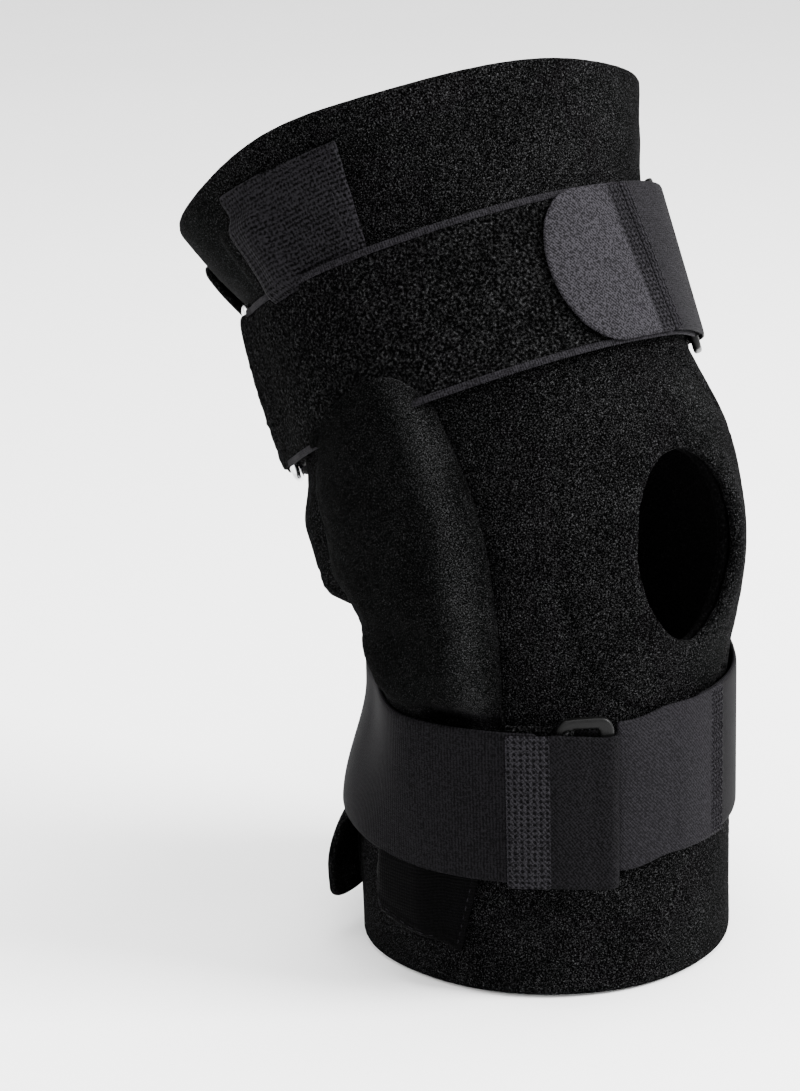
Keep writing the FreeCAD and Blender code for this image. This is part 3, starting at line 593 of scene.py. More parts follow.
def pile(name, dark, light, pitch, height, contrast=(0.42, 0.68), ridge=None):
    """A brushed pile: loops of about pitch mm, their tips catching the light. ridge is a
    (from, to) stretch along the cloth, in mm, where the pile's colour is painted lighter: a painted highlight."""
    material, tree, shader = new_material(name)
    places = object_places(tree)
    loops = grain(tree, places, 1.0 / (pitch * MM), 3.0, 0.7)
    cells = node(tree, "ShaderNodeTexVoronoi", {"Vector": places, "Scale": 0.8 / (pitch * MM)},
                 feature="F1").outputs["Distance"]
    mottle = grain(tree, places, 60.0, 3.0, 0.6)
    tips = unevenness(tree, loops, mottle, 0.08)
    if ridge:
        # painted highlight: the colour is made lighter across the ridge's stretch, where light catches the cover's
        # front edge
        _, along, _ = cloth_axes(tree)
        middle, half = (ridge[0] + ridge[1]) / 2 * MM, (ridge[1] - ridge[0]) / 2 * MM
        gap = maths(tree, "ABSOLUTE", maths(tree, "SUBTRACT", along, middle), 0.0)
        ridge_highlight = node(tree, "ShaderNodeMapRange", {"Value": gap, "From Min": 0.0, "From Max": half,
                                                   "To Min": RIDGE_HIGHLIGHT, "To Max": 0.0},
                      interpolation_type="SMOOTHSTEP").outputs["Result"]
        tips = maths(tree, "ADD", tips, ridge_highlight)
    low, high = contrast
    colour = ramp(tree, tips, [(low, grey(dark, BLACK_CLOTH)),
                               (low * 0.45 + high * 0.55, grey(light * 0.4, BLACK_CLOTH)),
                               (high, grey(light * 1.6, BLACK_CLOTH))])
    rise = maths(tree, "SUBTRACT", loops, maths(tree, "MULTIPLY", cells, 0.5))
    normal = bump(tree, rise, height * MM)
    plug(tree, shader, {"Base Color": colour, "Normal": bump(tree, mottle, 0.5 * MM, 0.4, normal),
                        "Roughness": 0.9, "Specular IOR Level": 0.006})
    return material


def cloth_axes(tree):
    """The cloth's own directions, in metres: along and across."""
    uv = node(tree, "ShaderNodeUVMap", uv_map="Cloth").outputs["UV"]
    parts = node(tree, "ShaderNodeSeparateXYZ", {"Vector": uv})
    return uv, parts.outputs["X"], parts.outputs["Y"]


def wave(tree, along, pitch):
    """0 to 1 and back, once in every pitch mm."""
    turned = maths(tree, "MULTIPLY", along, math.tau / (pitch * MM))
    return node(tree, "ShaderNodeMath", {0: maths(tree, "SINE", turned), 1: 0.5, 2: 0.5},
                operation="MULTIPLY_ADD").outputs[0]


def woven(name, level, ribs, picks, turn=0.0, deep=0.35, height=0.16, dots=None, fuzzy=4.5):
    """A woven tape: ribs mm between its ribs, which run across it when turn is 0, and picks mm
    between the yarns that cross them. dots is the spacing of needle holes, for a sewn block, and
    fuzzy how far single fibres vary in tone."""
    material, tree, shader = new_material(name)
    uv, u, v = cloth_axes(tree)
    c, s = math.cos(math.radians(turn)), math.sin(math.radians(turn))
    wobble = maths(tree, "MULTIPLY", grain(tree, uv, 220.0, 2.0), 0.35 * MM)
    along = maths(tree, "ADD", maths(tree, "MULTIPLY", u, c), maths(tree, "MULTIPLY", v, s))
    across = maths(tree, "SUBTRACT", maths(tree, "MULTIPLY", v, c), maths(tree, "MULTIPLY", u, s))
    along = maths(tree, "ADD", along, wobble)
    rib = wave(tree, along, ribs)
    pick = wave(tree, across, picks)
    weave = maths(tree, "ADD", maths(tree, "MULTIPLY", rib, 0.65), maths(tree, "MULTIPLY", pick, 0.35))
    fuzz = grain(tree, object_places(tree), 1500.0, 2.0)
    wear = grain(tree, object_places(tree), 45.0, 4.0)
    tone = unevenness(tree, unevenness(tree, weave, fuzz, fuzzy), wear, 0.5)
    height_map = weave
    if dots:
        hole = maths(tree, "MULTIPLY", wave(tree, u, dots[0]), wave(tree, v, dots[1]))
        hole = maths(tree, "MULTIPLY", maths(tree, "SUBTRACT", hole, 0.45), 3.0, True)
        tone = maths(tree, "SUBTRACT", tone, maths(tree, "MULTIPLY", hole, 1.7))
        height_map = maths(tree, "SUBTRACT", weave, maths(tree, "MULTIPLY", hole, 3.0))
    colour = ramp(tree, tone, [(0.05, grey(level * deep, DYED_WEB)), (0.55, grey(level, DYED_WEB)),
                               (1.0, grey(level * 1.5, DYED_WEB))])
    plug(tree, shader, {"Base Color": colour, "Normal": bump(tree, height_map, height * MM),
                        "Roughness": 0.7, "Specular IOR Level": 0.015})
    return material


def varied(tree, fac, low, high):
    return node(tree, "ShaderNodeMapRange", {"Value": fac, "To Min": low, "To Max": high}).outputs[0]


def moulded(name, level, rough, specular):
    material, tree, shader = new_material(name)
    places = object_places(tree)
    scuff = grain(tree, places, 380.0, 4.0)
    colour = ramp(tree, scuff, [(0.3, grey(level * 0.8)), (0.75, grey(level * 1.35))])
    plug(tree, shader, {"Base Color": colour, "Specular IOR Level": specular,
                        "Roughness": varied(tree, scuff, rough * 0.75, rough * 1.4),
                        "Normal": bump(tree, grain(tree, places, 900.0), 0.03 * MM)})
    return material


def metal(name, colour, rough, brushed):
    material, tree, shader = new_material(name)
    places = node(tree, "ShaderNodeMapping", {"Vector": object_places(tree),
                                              "Scale": brushed}).outputs[0]
    lines = grain(tree, places, 300.0, 4.0)
    shade = ramp(tree, lines, [(0.25, tuple(c * 0.75 for c in colour)), (0.8, colour)])
    plug(tree, shader, {"Base Color": shade, "Metallic": 1.0,
                        "Roughness": varied(tree, lines, rough * 0.8, rough * 1.5),
                        "Normal": bump(tree, lines, 0.03 * MM, 0.5)})
    return material


NEEDLE_PITCH = (2.0, 1.95)
NEOPRENE_CLOTH = pile("neoprene_loop", 0.0001, 0.0240, 0.48, 0.55, (0.50, 0.71))
# the cover's front ridge gets a painted highlight
COVER_CLOTH = pile("cover_fleece", 0.0002, 0.0150, 0.4, 0.4, (0.50, 0.72),
                   ridge=(57 * PHI_MM, 71 * PHI_MM))
PLUSH = pile("band_plush", 0.0002, 0.0165, 0.85, 1.0, (0.47, 0.72))
LINING = pile("lining_jersey", 0.0003, 0.003, 0.6, 0.2)
HOOK = pile("hook_strip", 0.002, 0.009, 1.2, 0.8)
BINDING = woven("binding_tape", 0.0062, 0.8, 0.6, height=0.1)
ELASTIC = woven("ribbed_elastic", 0.0029, 1.05, 0.7, height=0.14)
TURNED = woven("turned_web", 0.0050, 1.0, 0.7, height=0.14)
TWILL = woven("twill_tape", 0.0026, 0.95, 0.75, turn=-38, height=0.12)
# a lighter copy of the same twill for the lower tab: painted light, for the tab's face toward the key lamp
LOW_TWILL_PAINTED_LIGHT = woven("low_twill", 0.0056, 0.8, 0.7, turn=-38, deep=0.6, height=0.1)
# a lighter copy of the same twill for the upper tab: painted light, for the tab's face toward the key lamp
TAB_TWILL_PAINTED_LIGHT = woven("tab_twill", 0.0108, 0.85, 0.7, turn=-38, height=0.14, fuzzy=6.0)
SEWN_BLOCK = woven("sewn_block", 0.0074, 0.95, 0.75, turn=-38, height=0.14, dots=NEEDLE_PITCH)
SEAM = woven("sewn_seam", 0.0072, 0.95, 0.75, turn=-38, height=0.14, dots=(1.75, 1.5))
POCKET_WEB = woven("pocket_webbing", 0.0052, 1.5, 1.1, turn=90, height=0.5, deep=0.04)
LOW_POCKET = woven("low_pocket_webbing", 0.0004, 1.1, 0.9, turn=90, height=0.2, deep=0.4)
THREAD = woven("sewing_thread", 0.0050, 0.5, 0.5, height=0.05)
BLACK_PLASTIC = moulded("black_plastic", 0.0015, 0.38, 0.09)
SILVER = metal("silver_wire", (0.80, 0.80, 0.82), 0.2, (1, 1, 1))
ALUMINIUM = metal("brushed_aluminium", (0.62, 0.63, 0.64), 0.3, (1, 1, 0.05))
STEEL = metal("hinge_steel", (0.42, 0.42, 0.44), 0.34, (1, 0.1, 1))
RIVET = metal("rivet_steel", (0.55, 0.54, 0.52), 0.25, (1, 1, 1))


def dress(piece, outer, inner=None):
    """Gives a piece its materials, and keeps the faces' material numbers."""
    numbers = [face.material_index for face in piece.data.polygons]
    piece.data.materials.clear()
    piece.data.materials.append(outer)
    piece.data.materials.append(inner or outer)
    piece.data.polygons.foreach_set("material_index", numbers)
    return piece


def dress_where(piece, material, test):
    """Gives a material to the outer faces whose middle passes test(u, v)."""
    places = flat_places(piece.data)
    piece.data.materials.append(material)
    number = len(piece.data.materials) - 1
    for face in piece.data.polygons:
        u, v, depth = places[list(face.vertices)].mean(axis=0)
        if depth < 0.5 and test(float(u), float(v)):
            face.material_index = number


for name, cad_piece in frame["nodes"].items():
    for word, material in (("stay", ALUMINIUM), ("plate", STEEL), ("rivet", RIVET)):
        if name.endswith(word):
            dress(cad_piece, material)


# ---- sleeve

HOLE = (-4.6, 132.4)                     # the kneecap opening's angle and station,
HOLE_HALF = (22.0, 20.8)                 # and its half width and height
HOLE_MEAN = 19.0
PAD_WIDTH, PAD_SEAM = 19.5, 21.0         # outside the opening's edge
REAR_EDGE = blurred([(0, 150), (56, 150), (84, 127), (100, 120), (129, 119), (134, 129), (204, 129),
                     (224, 150), (272, 150)], 3)


def hole_gap(u, v):
    """How far a place is outside the kneecap opening: an upright oval, flattened at its upper
    outer side and a little ragged along its cut edge."""
    x, y = (u - HOLE[0] * PHI_MM) / HOLE_HALF[0], (v - HOLE[1]) / HOLE_HALF[1]
    angle = math.atan2(y, x)
    size = 1 - 0.045 * bell(angle - 2.2, 0.5) + 0.012 * math.sin(9 * angle + 1) * math.sin(4 * angle)
    return (math.hypot(x, y) - size) * HOLE_MEAN


def sleeve_cut(u, v):
    return min((REAR_EDGE(v) - abs(u / PHI_MM)) * PHI_MM, hole_gap(u, v))


def sleeve_place(u, v, depth):
    phi = u / PHI_MM
    edge = REAR_EDGE(v) - abs(phi)
    flare = 10.8 * smooth(1 - edge / 20) * smooth((v - 118) / 12) * smooth((195 - v) / 38)
    wavy = 0.7 * noise.noise(Vector((u * 0.028, v * 0.022, 3.1)))
    near_hem = smooth((v - 236) / 36)
    front = bell(phi + 42, 30) * (1.0 * near_hem + 2.4 * bell(v - 243, 12))
    outer = sleeve_radius(v, phi) + flare + wavy + front
    return leg(v + hem_rise(phi) * near_hem, phi, outer - depth * (NEOPRENE + stay_channel(v, phi)))


def ring_stitch(u, v):
    """The stitched outline of the pad behind the kneecap: a sunk line of dimples."""
    gap = hole_gap(u, v) - PAD_SEAM
    dimple = 0.55 + 0.45 * math.cos(math.atan2(v - HOLE[1], (u - HOLE[0] * PHI_MM)) * 46)
    return bell(gap, 1.7) * dimple


def sleeve_detail(u, v, depth):
    if depth > 0.5:
        return 0.0
    rim = 0.5 * bell(hole_gap(u, v) - 4.0, 2.0)
    fuzz = 0.10 * noise.noise(Vector((u * 0.9, v * 0.9, 0.0)))
    return fuzz - 1.5 * ring_stitch(u, v) + rim


def sleeve_part(u, v):
    phi = abs(u / PHI_MM)
    front = math.cos(math.radians(phi))
    if v < 80 + 20 * front:
        return 0
    if v > thigh(55 - 20 * front):
        return 3
    return 1 if v < MIDDLE else 2


sleeve = sewn("sleeve", flat_cut((-150 * PHI_MM, 150 * PHI_MM), (0, LEG_TOP), 3.0, sleeve_cut),
              sleeve_place, 1, sleeve_detail)
dress(sleeve, NEOPRENE_CLOTH, LINING)
calf_part, knee_low, knee_high, thigh_part = parted(
    sleeve, sleeve_part, ["sleeve_calf", "knee_panel_low", "knee_panel_high", "sleeve_thigh"])
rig.ride(calf_part, "calf")
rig.ride(thigh_part, "thigh")
over_knee(knee_low, knee_high)
for piece, stands_for in ((calf_part, "calf_sleeve"), (knee_low, "knee_panel"),
                          (knee_high, "knee_panel"), (thigh_part, "thigh_sleeve")):
    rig.replaces(piece, stands_for)
    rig.slot(piece, "neoprene")


# the pad behind the kneecap opening

def buttress_cut(u, v):
    return min(hole_gap(u, v) - 0.8, PAD_WIDTH - hole_gap(u, v))


def buttress_place(u, v, depth):
    crown = 1.2 * math.sin(math.pi * min(max(hole_gap(u, v) / PAD_WIDTH, 0), 1))
    return off_sleeve(u, v, -NEOPRENE - 0.4 - depth * (3.2 + crown))


buttress = sewn("patella_pad", flat_cut((-62, 46), (90, 180), 3.0, buttress_cut), buttress_place)
dress(buttress, LINING)
pad_low, pad_high = parted(buttress, lambda u, v: 0 if v < MIDDLE else 1,
                           ["patella_pad_low", "patella_pad_high"])
over_knee(pad_low, pad_high)
for piece in (pad_low, pad_high):
    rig.replaces(piece, "patella_buttress")
    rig.slot(piece, "neoprene")
    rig.padded(piece, 0.5)


# ---- hinge covers

COVER_OUTER = [(78, 57.5), (96, 57.7), (114, 57.4), (129, 56.8), (148, 56.8), (166, 58.2),
               (181, 59.6), (188, 61.6), (192, 66), (193.5, 72), (192.5, 80), (190, 88),
               (187, 95), (182.5, 102), (176, 108), (167, 112), (158, 112.5), (148, 114),
               (139, 115.5), (132, 112), (127.5, 106.5), (124, 105), (115, 104), (106, 101),
               (98, 98), (88, 97), (78, 96)]


BELOW_DOME, OVER_BAND, UNDER_BAND = 92, 72.3, 70.3     # a station, and two radii


def cover(side):
    """The padded cover over a hinge, its lower end under the strap. The outer one's dome stands
    over the band, and the inner one's upper end is tucked under it."""
    lateral = side == "lateral"
    sign = 1 if lateral else -1
    front_width, edge_stand, front_share, high = ((16.0, 1.5, 1.0, LEG_TOP) if lateral
                                                  else (24.0, 0.2, 0.66, thigh(42)))
    line = rounded_line([(sign * (90 + (phi - 90) * (front_share if phi < 90 else 1)) * PHI_MM,
                          min(s, high)) for s, phi in COVER_OUTER])
    inside = outline_cut(line)
    us = [u for u, _ in line]

    def place(u, v, depth):
        phi = u / PHI_MM
        base = sleeve_radius(v, phi) + 0.3
        over_band = smooth((v - thigh(33.5)) / 2.5) if lateral else 0.0
        tucked = 0.0 if lateral else smooth((v - thigh(22)) / 6)
        base += (OVER_BAND - base) * over_band
        dome = 70.0 + 5.0 * smooth((v - BELOW_DOME) / 26) + 0.8 * smooth((v - 180) / 12)
        face = max(base + 3.2, dome)
        face += (UNDER_BAND - face) * tucked
        width = front_width + (21.0 - front_width) * smooth((abs(phi) - 78) / 14)
        shoulder = min(max(inside(u, v) / width, 0), 1)
        crown = math.sqrt(1 - (1 - shoulder) ** 2.2)
        fold = 1.2 * bell(v - 128, 4.5) * smooth((abs(phi) - 72) / 10)
        fold -= 1.5 * bell(v - 120, 6) * smooth((abs(phi) - 70) / 12)
        sag = 1.1 * noise.noise(Vector((u * 0.05, v * 0.035, 9.0 * sign)))
        thin = base + 0.9
        full = edge_stand + (face - thin - edge_stand + fold + sag * (1 - tucked)) * crown
        outer = thin + full * smooth((v - BELOW_DOME) / 10)
        inner = min(max(outer - 3.0, base), outer - 0.8)
        return leg(v, phi, outer if depth < 0.5 else inner)

    def detail(u, v, depth):
        if depth > 0.5:
            return 0.0
        gap = inside(u, v)
        seam = -0.8 * bell(gap - 2.6, 0.9)
        tufts = 0.35 * noise.noise(Vector((u * 0.35, v * 0.35, 5.0)))
        return seam + tufts + 0.15 * noise.noise(Vector((u * 0.9, v * 0.9, 1.0)))

    flat = flat_cut((min(us) - 1, max(us) + 1), (77, min(high, 197)), 2.6, inside)
    whole = dress(sewn(side + "_cover", flat, place, 1, detail), COVER_CLOTH)
    halves = parted(whole, lambda u, v: 0 if v < MIDDLE else 1,
                    [side + "_cover_low", side + "_cover_high"])
    over_knee(*halves)
    for half in halves:
        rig.replaces(half, side + "_hinge_cover")
        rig.slot(half, "cover_fabric")
        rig.padded(half, 0.7)


cover("lateral")
cover("medial")


# ---- straps

class Route:
    """The middle line of a strap, seen along the leg: a smooth line through section places."""

    def __init__(self, places):
        points = [Vector(p) for p in places]
        points = [points[0] * 2 - points[1]] + points + [points[-1] * 2 - points[-2]]
        line = []
        for i in range(1, len(points) - 2):
            p = points[i - 1:i + 3]
            count = max(2, round((p[2] - p[1]).length / 0.5))
            line += [between(p, j / count) for j in range(count)]
        line.append(points[-2])
        self.line = np.array([tuple(p) for p in line])
        gaps = np.hypot(*np.diff(self.line, axis=0).T)
        self.at = np.concatenate([[0], np.cumsum(gaps)])
        self.length = float(self.at[-1])

    def place(self, u):
        return np.array([np.interp(u, self.at, self.line[:, axis]) for axis in (0, 1)])

    def off(self, u, gap):
        """The section place gap mm outside the line at u, and its angle round the leg."""
        here = self.place(u)
        ahead = self.place(min(u + 0.4, self.length)) - self.place(max(u - 0.4, 0))
        ahead = ahead / max(np.hypot(*ahead), 1e-9)
        made = here + np.array([-ahead[1], ahead[0]]) * gap
        return made, math.degrees(math.atan2(-made[0], -made[1]))

    def where(self, phi):
        """The length along the line at which it last passes angle phi."""
        angles = np.degrees(np.arctan2(-self.line[:, 0], -self.line[:, 1]))
        gap = np.abs((angles - phi + 180) % 360 - 180)
        return float(self.at[np.flatnonzero(gap < 0.8)[-1]])


def trail(*places):
    """Section places at (angle, radius) pairs."""
    return [around(*place) for place in places]


def arc(phi0, phi1, r0, r1=None, back=0.0):
    """Section places from phi0 to phi1."""
    r1 = r0 if r1 is None else r1
    count = max(2, round(abs(phi1 - phi0) / 7.0))
    return [around(phi0 + (phi1 - phi0) * i / count, r0 + (r1 - r0) * i / count, back)
            for i in range(count + 1)]


def bar_turn(ring, step, reach, depth, first, last, count=7):
    """Section places round a bar of a ring, which is (angle, radius of its middle), step before
    that middle. They go from first to last degrees, 0 being toward larger angles round the leg
    and 90 outward. reach and depth are half the turn's width and depth."""
    angle = math.radians(ring[0])
    along = Vector((-math.cos(angle), math.sin(angle)))
    out = Vector((-math.sin(angle), -math.cos(angle)))
    middle = Vector(around(*ring)) + along * step
    made = []
    for i in range(count):
        turn = math.radians(first + (last - first) * i / (count - 1))
        made.append(tuple(middle + along * reach * math.cos(turn) + out * depth * math.sin(turn)))
    return made


def leant(spot, phi, v, lean):
    """A section place turned round the leg and moved out, as lean(phi, v) says."""
    if lean is None:
        return spot
    turn, out = lean(phi, v)
    angle = math.radians(turn)
    c, s = math.cos(angle), math.sin(angle)
    share = 1 + out / math.hypot(*spot)
    return (spot[0] * c + spot[1] * s) * share, (spot[1] * c - spot[0] * s) * share


SURFACES = {}


def strap(name, route, low, width, thick, material, step=3.0, keep=None, detail=None, lean=None,
          levels=1, under=None):
    """A strap along a route. low(phi) is the station of its lower edge, and lean(phi, v) how
    far it turns round the leg, in degrees, and stands out, at v mm above that edge."""

    def place(u, v, depth):
        spot, phi = route.off(u, (0.5 - depth) * thick)
        return section(low(phi) + v, *leant(spot, phi, v, lean))

    SURFACES[name] = place
    flat = flat_cut((0, route.length), (0, width), step, keep)
    return dress(sewn(name, flat, place, levels, detail), material, under)


def stitches(name, place, runs, radius=0.26, rise=0.12):
    """Sewing thread: one small tube for each ((u, v), (u, v)) stitch in runs. Its middle stands
    on the cloth and its ends go in."""
    bm = bmesh.new()
    sides = 6
    for (u0, v0), (u1, v1) in runs:
        rings = []
        for share, depth, size in ((0.0, 0.55, 0.5), (0.18, -rise, 1.0), (0.82, -rise, 1.0),
                                   (1.0, 0.55, 0.5)):
            u, v = u0 + (u1 - u0) * share, v0 + (v1 - v0) * share
            here = place(u, v, 0)
            out = (here - place(u, v, 1)).normalized()
            rings.append((here - out * depth * MM, out, size * radius * MM))
        along = (rings[2][0] - rings[1][0]).normalized()
        loops = []
        for at, out, size in rings:
            side = along.cross(out).normalized()
            loops.append([bm.verts.new(at + (out * math.cos(t) + side * math.sin(t)) * size)
                          for t in (math.tau * i / sides for i in range(sides))])
        for a, b in zip(loops, loops[1:]):
            join_loops(bm, a, b)
        bm.faces.new(loops[0])
        bm.faces.new(loops[-1])
    return dress(closed_piece(name, bm), THREAD)


def join_loops(bm, a, b):
    for i in range(len(a)):
        j = (i + 1) % len(a)
        bm.faces.new((a[i], a[j], b[j], b[i]))


def zigzags(us, wide, pitch):
    """The stitches of a zigzag column right across a strap, at each u in us."""
    runs = []
    count = round((WIDTH - 2.0) / pitch)
    for u in us:
        points = [(u + (wide / 2 if i % 2 else -wide / 2), 1.0 + (WIDTH - 2.0) * i / count)
                  for i in range(count + 1)]
        runs += zip(points, points[1:])
    return runs


def running(points, pitch=3.2, gap=0.8):
    """Straight stitches along a line of points."""
    runs = []
    ends = (gap / pitch / 2, 1 - gap / pitch / 2)
    for a, b in zip(map(Vector, points), map(Vector, points[1:])):
        count = max(1, round((b - a).length / pitch))
        runs += [[tuple(a + (b - a) * ((i + end) / count)) for end in ends] for i in range(count)]
    return runs


def declare(piece, body, slot_name, *nodes):
    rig.ride(piece, body)
    if nodes:
        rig.replaces(piece, *nodes)
    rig.slot(piece, slot_name)


WIDTH = 50.6
UPPER_LOW, UPPER_SLANT = thigh(27.5), 4.4
FRONT_RING, REAR_RING, LOWER_RING = (-45.0, 70.2), (131.0, 70.4), (34.0, 64.7)   # angle, radius
BAR_STEP, WIRE_STEP = 6.8, 5.9           # from a ring's middle to its bars


def upper_low(phi):
    """The upper strap is lowest ahead of the inner side, and rises to the other side."""
    return UPPER_LOW + UPPER_SLANT * (1 - math.cos(math.radians(phi + 25)))


def upper_lean(phi, v):
    """The rear ring hangs aslant, its upper end further forward and nearer the leg. The front
    ring's lower end is nearer the leg."""
    rear, front = plateau(phi - 130, 4, 38), plateau(phi + 47, 9, 26)
    up = min(v / WIDTH, 1.0)
    return -8.0 * rear * (v / WIDTH), -3.0 * rear * up ** 3 - 4.6 * front * (1 - v / WIDTH)


band_route = Route(
    arc(-28, -34, 66.8) + bar_turn(FRONT_RING, BAR_STEP, 3.4, 2.7, 250, 110)
    + trail((-33, 70.4), (-26, 69.2)) + arc(-18, 50, 68.6) + trail((60, 69.6)) + arc(70, 98, 70.8)
    + trail((106, 70.6), (113, 70.6), (119, 71.6))
    + bar_turn(REAR_RING, -WIRE_STEP, 3.0, 3.0, 90, -80) + trail((120, 67.5), (113, 67.3)))


def plush_detail(u, v, depth):
    tufts = noise.noise(Vector((u * 0.45, v * 0.45, 4.0 * depth)))
    fine = noise.noise(Vector((u * 1.1, v * 1.1, 2.0)))
    return 0.45 * tufts + 0.2 * fine


declare(strap("upper_plush_band", band_route, upper_low, WIDTH, 2.0, PLUSH, 2.6,
              detail=plush_detail, lean=upper_lean), "thigh", "plush_loop", "upper_loop_band")

edge_route = Route(trail((-34, 71.5), (-26, 70.4)) + arc(-18, 50, 69.8) + trail((60, 70.8))
                   + arc(70, 98, 72.0) + arc(106, 114, 71.8) + trail((119, 72.8)))
for name, at in (("upper_band_lower_binding", -0.5), ("upper_band_upper_binding", WIDTH - 1.9)):
    edge = strap(name + "_tape", edge_route, lambda phi, at=at: upper_low(phi) + at, 2.4, 0.8,
                 BINDING, 1.2, lean=lambda phi, v, at=at: upper_lean(phi, v + at))
    declare(edge, "thigh", "binding", name)

back_route = Route(
    trail((126, 67.2), (128, 67.2)) + bar_turn(REAR_RING, WIRE_STEP, 3.3, 3.0, 240, 120, 5)
    + trail((145, 72.6), (151, 73.4)) + arc(158, 288, 72.0, back=2.4)
    + trail((-65, 70.0), (-58, 68.0), (-52, 66.9), (-46, 66.6)))
declare(strap("upper_back_elastic", back_route, upper_low, WIDTH, 1.8, ELASTIC, lean=upper_lean),
        "thigh", "elastic", "upper_elastic")

turned_route = Route(
    trail((-40, 68.3), (-44, 68.0)) + bar_turn(FRONT_RING, -BAR_STEP, 3.6, 2.8, 255, 105)
    + trail((-45.5, 73.2), (-40, 73.3), (-33, 73.0), (-26, 72.4), (-19, 72.0), (-13.3, 71.8)))
turned = strap("upper_turned_elastic", turned_route, upper_low, WIDTH, 1.3, TURNED, 2.0,
               lean=upper_lean)
dress_where(turned, SEAM, lambda u, v: u > turned_route.length - 4.5)
declare(turned, "thigh", "elastic", "upper_elastic")

tab_route = Route(trail((-13.0, 71.8)) + arc(-8, 18.6, 71.2, 71.3))
TAB_ROUND = 18.0


def tab_cut(u, v):
    """A rounded free end."""
    straight = tab_route.length - TAB_ROUND
    if u < straight:
        return min(v, WIDTH - v, u) + 1e-3
    return TAB_ROUND * (1 - math.hypot((u - straight) / TAB_ROUND, 2 * v / WIDTH - 1))


def tab_bends(piece):
    """The tab bends beside its seam as it is peeled from the band."""
    place = SURFACES["upper_tab"]
    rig.blend(piece, "thigh", "upper_tab", place(0.3, WIDTH / 2, 0.5), place(10.0, WIDTH / 2, 0.5))


tab = strap("upper_tab", tab_route, upper_low, WIDTH, 1.3, TAB_TWILL_PAINTED_LIGHT, 2.0, keep=tab_cut,
            lean=upper_lean, under=HOOK)
dress_where(tab, SEAM, lambda u, v: u < 6.5)
tab_seam = stitches("upper_tab_stitches", SURFACES["upper_tab"], zigzags((1.4, 3.2, 5.0), 1.3, 1.5))
for piece in (tab, tab_seam):
    tab_bends(piece)
    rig.slot(piece, "twill_tab")
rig.replaces(tab, "upper_hook_tab")
turned_thread = zigzags([turned_route.length - inset for inset in (1.4, 3.0)], 1.2, 1.5)
declare(stitches("turned_elastic_stitches", SURFACES["upper_turned_elastic"], turned_thread), "thigh",
        "elastic")


# lower strap

def lower_low(phi):
    """The lower strap's lower edge: lowest ahead of the outer side, and higher elsewhere."""
    turned = (phi + 180) % 360 - 180
    return 42.2 + 2.6 * smooth((turned - 82) / 44) + 2.6 * smooth((20 - turned) / 14)


def lower_lean(phi, v):
    """The strap narrows upward behind the knee, where the calf does."""
    return 0.0, -9.2 * behind_knee(phi) * smooth(1.15 * v / WIDTH)


elastic_route = Route(
    trail((47, 66.6), (52, 66.9)) + arc(58, 196, 67.4, back=1.5) + arc(203, 272, 67.2, back=1.5)
    + trail((-81, 66.4), (-74, 65.0), (-67, 63.3), (-60, 62.0), (-53, 61.2))
    + arc(-46, -17, 60.9, 61.3) + trail((-11, 61.5), (-5, 61.6)))
declare(strap("lower_strap_elastic", elastic_route, lower_low, WIDTH, 1.8, ELASTIC, lean=lower_lean),
        "calf", "elastic", "lower_elastic")


webbing_route = Route(
    trail((38, 62.2), (35, 62.0)) + bar_turn(LOWER_RING, -BAR_STEP, 3.3, 2.9, 255, 105)
    + trail((32, 67.7)) + arc(37, 55.4, 68.2, 69.0))


def flap_low(phi):
    """The webbing hangs a little lower than the elastic that it is sewn to, most at its fold."""
    return lower_low(phi) - 0.9 - 1.8 * smooth((44 - phi) / 18)


BLOCK_START = webbing_route.where(43.5)


def wave_at(x, pitch):
    """The same wave as the sewn block's material has: 0 to 1 and back in every pitch mm."""
    return 0.5 + 0.5 * math.sin(math.tau * x / pitch)


def needle_holes(u, v, depth):
    """The sewn block's needle holes, and the slack in the web before it."""
    if depth > 0.5:
        return 0.0
    if u < BLOCK_START:
        return 0.5 * noise.noise(Vector((u * 0.16, v * 0.03, 8.0)))
    hole = wave_at(u, NEEDLE_PITCH[0]) * wave_at(v, NEEDLE_PITCH[1])
    return -0.45 * smooth((hole - 0.45) * 3)


webbing = strap("lower_webbing", webbing_route, flap_low, WIDTH + 0.6, 1.3, TWILL, 2.0,
                detail=needle_holes, levels=2)
dress_where(webbing, SEWN_BLOCK, lambda u, v: u > BLOCK_START)
declare(webbing, "calf", "twill_tab", "lower_webbing_turn")

strip_route = Route(arc(57, 45, 62.6, 62.2)
                    + bar_turn(LOWER_RING, BAR_STEP, 3.2, 2.5, -75, -285))
declare(strap("lower_plush_strip", strip_route, lambda phi: lower_low(phi) + 0.6, WIDTH, 1.6,
              PLUSH, 2.4, detail=plush_detail), "calf", "plush_loop", "lower_loop_band")

lower_tab_route = Route(arc(-17.5, 1, 62.9, 62.8) + arc(6, 24, 62.2, 61.4))
lower_tab = strap("lower_tab", lower_tab_route, lambda phi: lower_low(phi) + 0.2, WIDTH, 1.3,
                  LOW_TWILL_PAINTED_LIGHT, 2.2, under=HOOK)
dress_where(lower_tab, SEAM, lambda u, v: u < 7.5)
declare(lower_tab, "calf", "twill_tab", "lower_hook_tab")
lower_thread = zigzags((1.2, 2.9, 4.6, 6.3), 1.3, 1.6)
declare(stitches("lower_tab_stitches", SURFACES["lower_tab"], lower_thread), "calf", "twill_tab")


# ---- rings

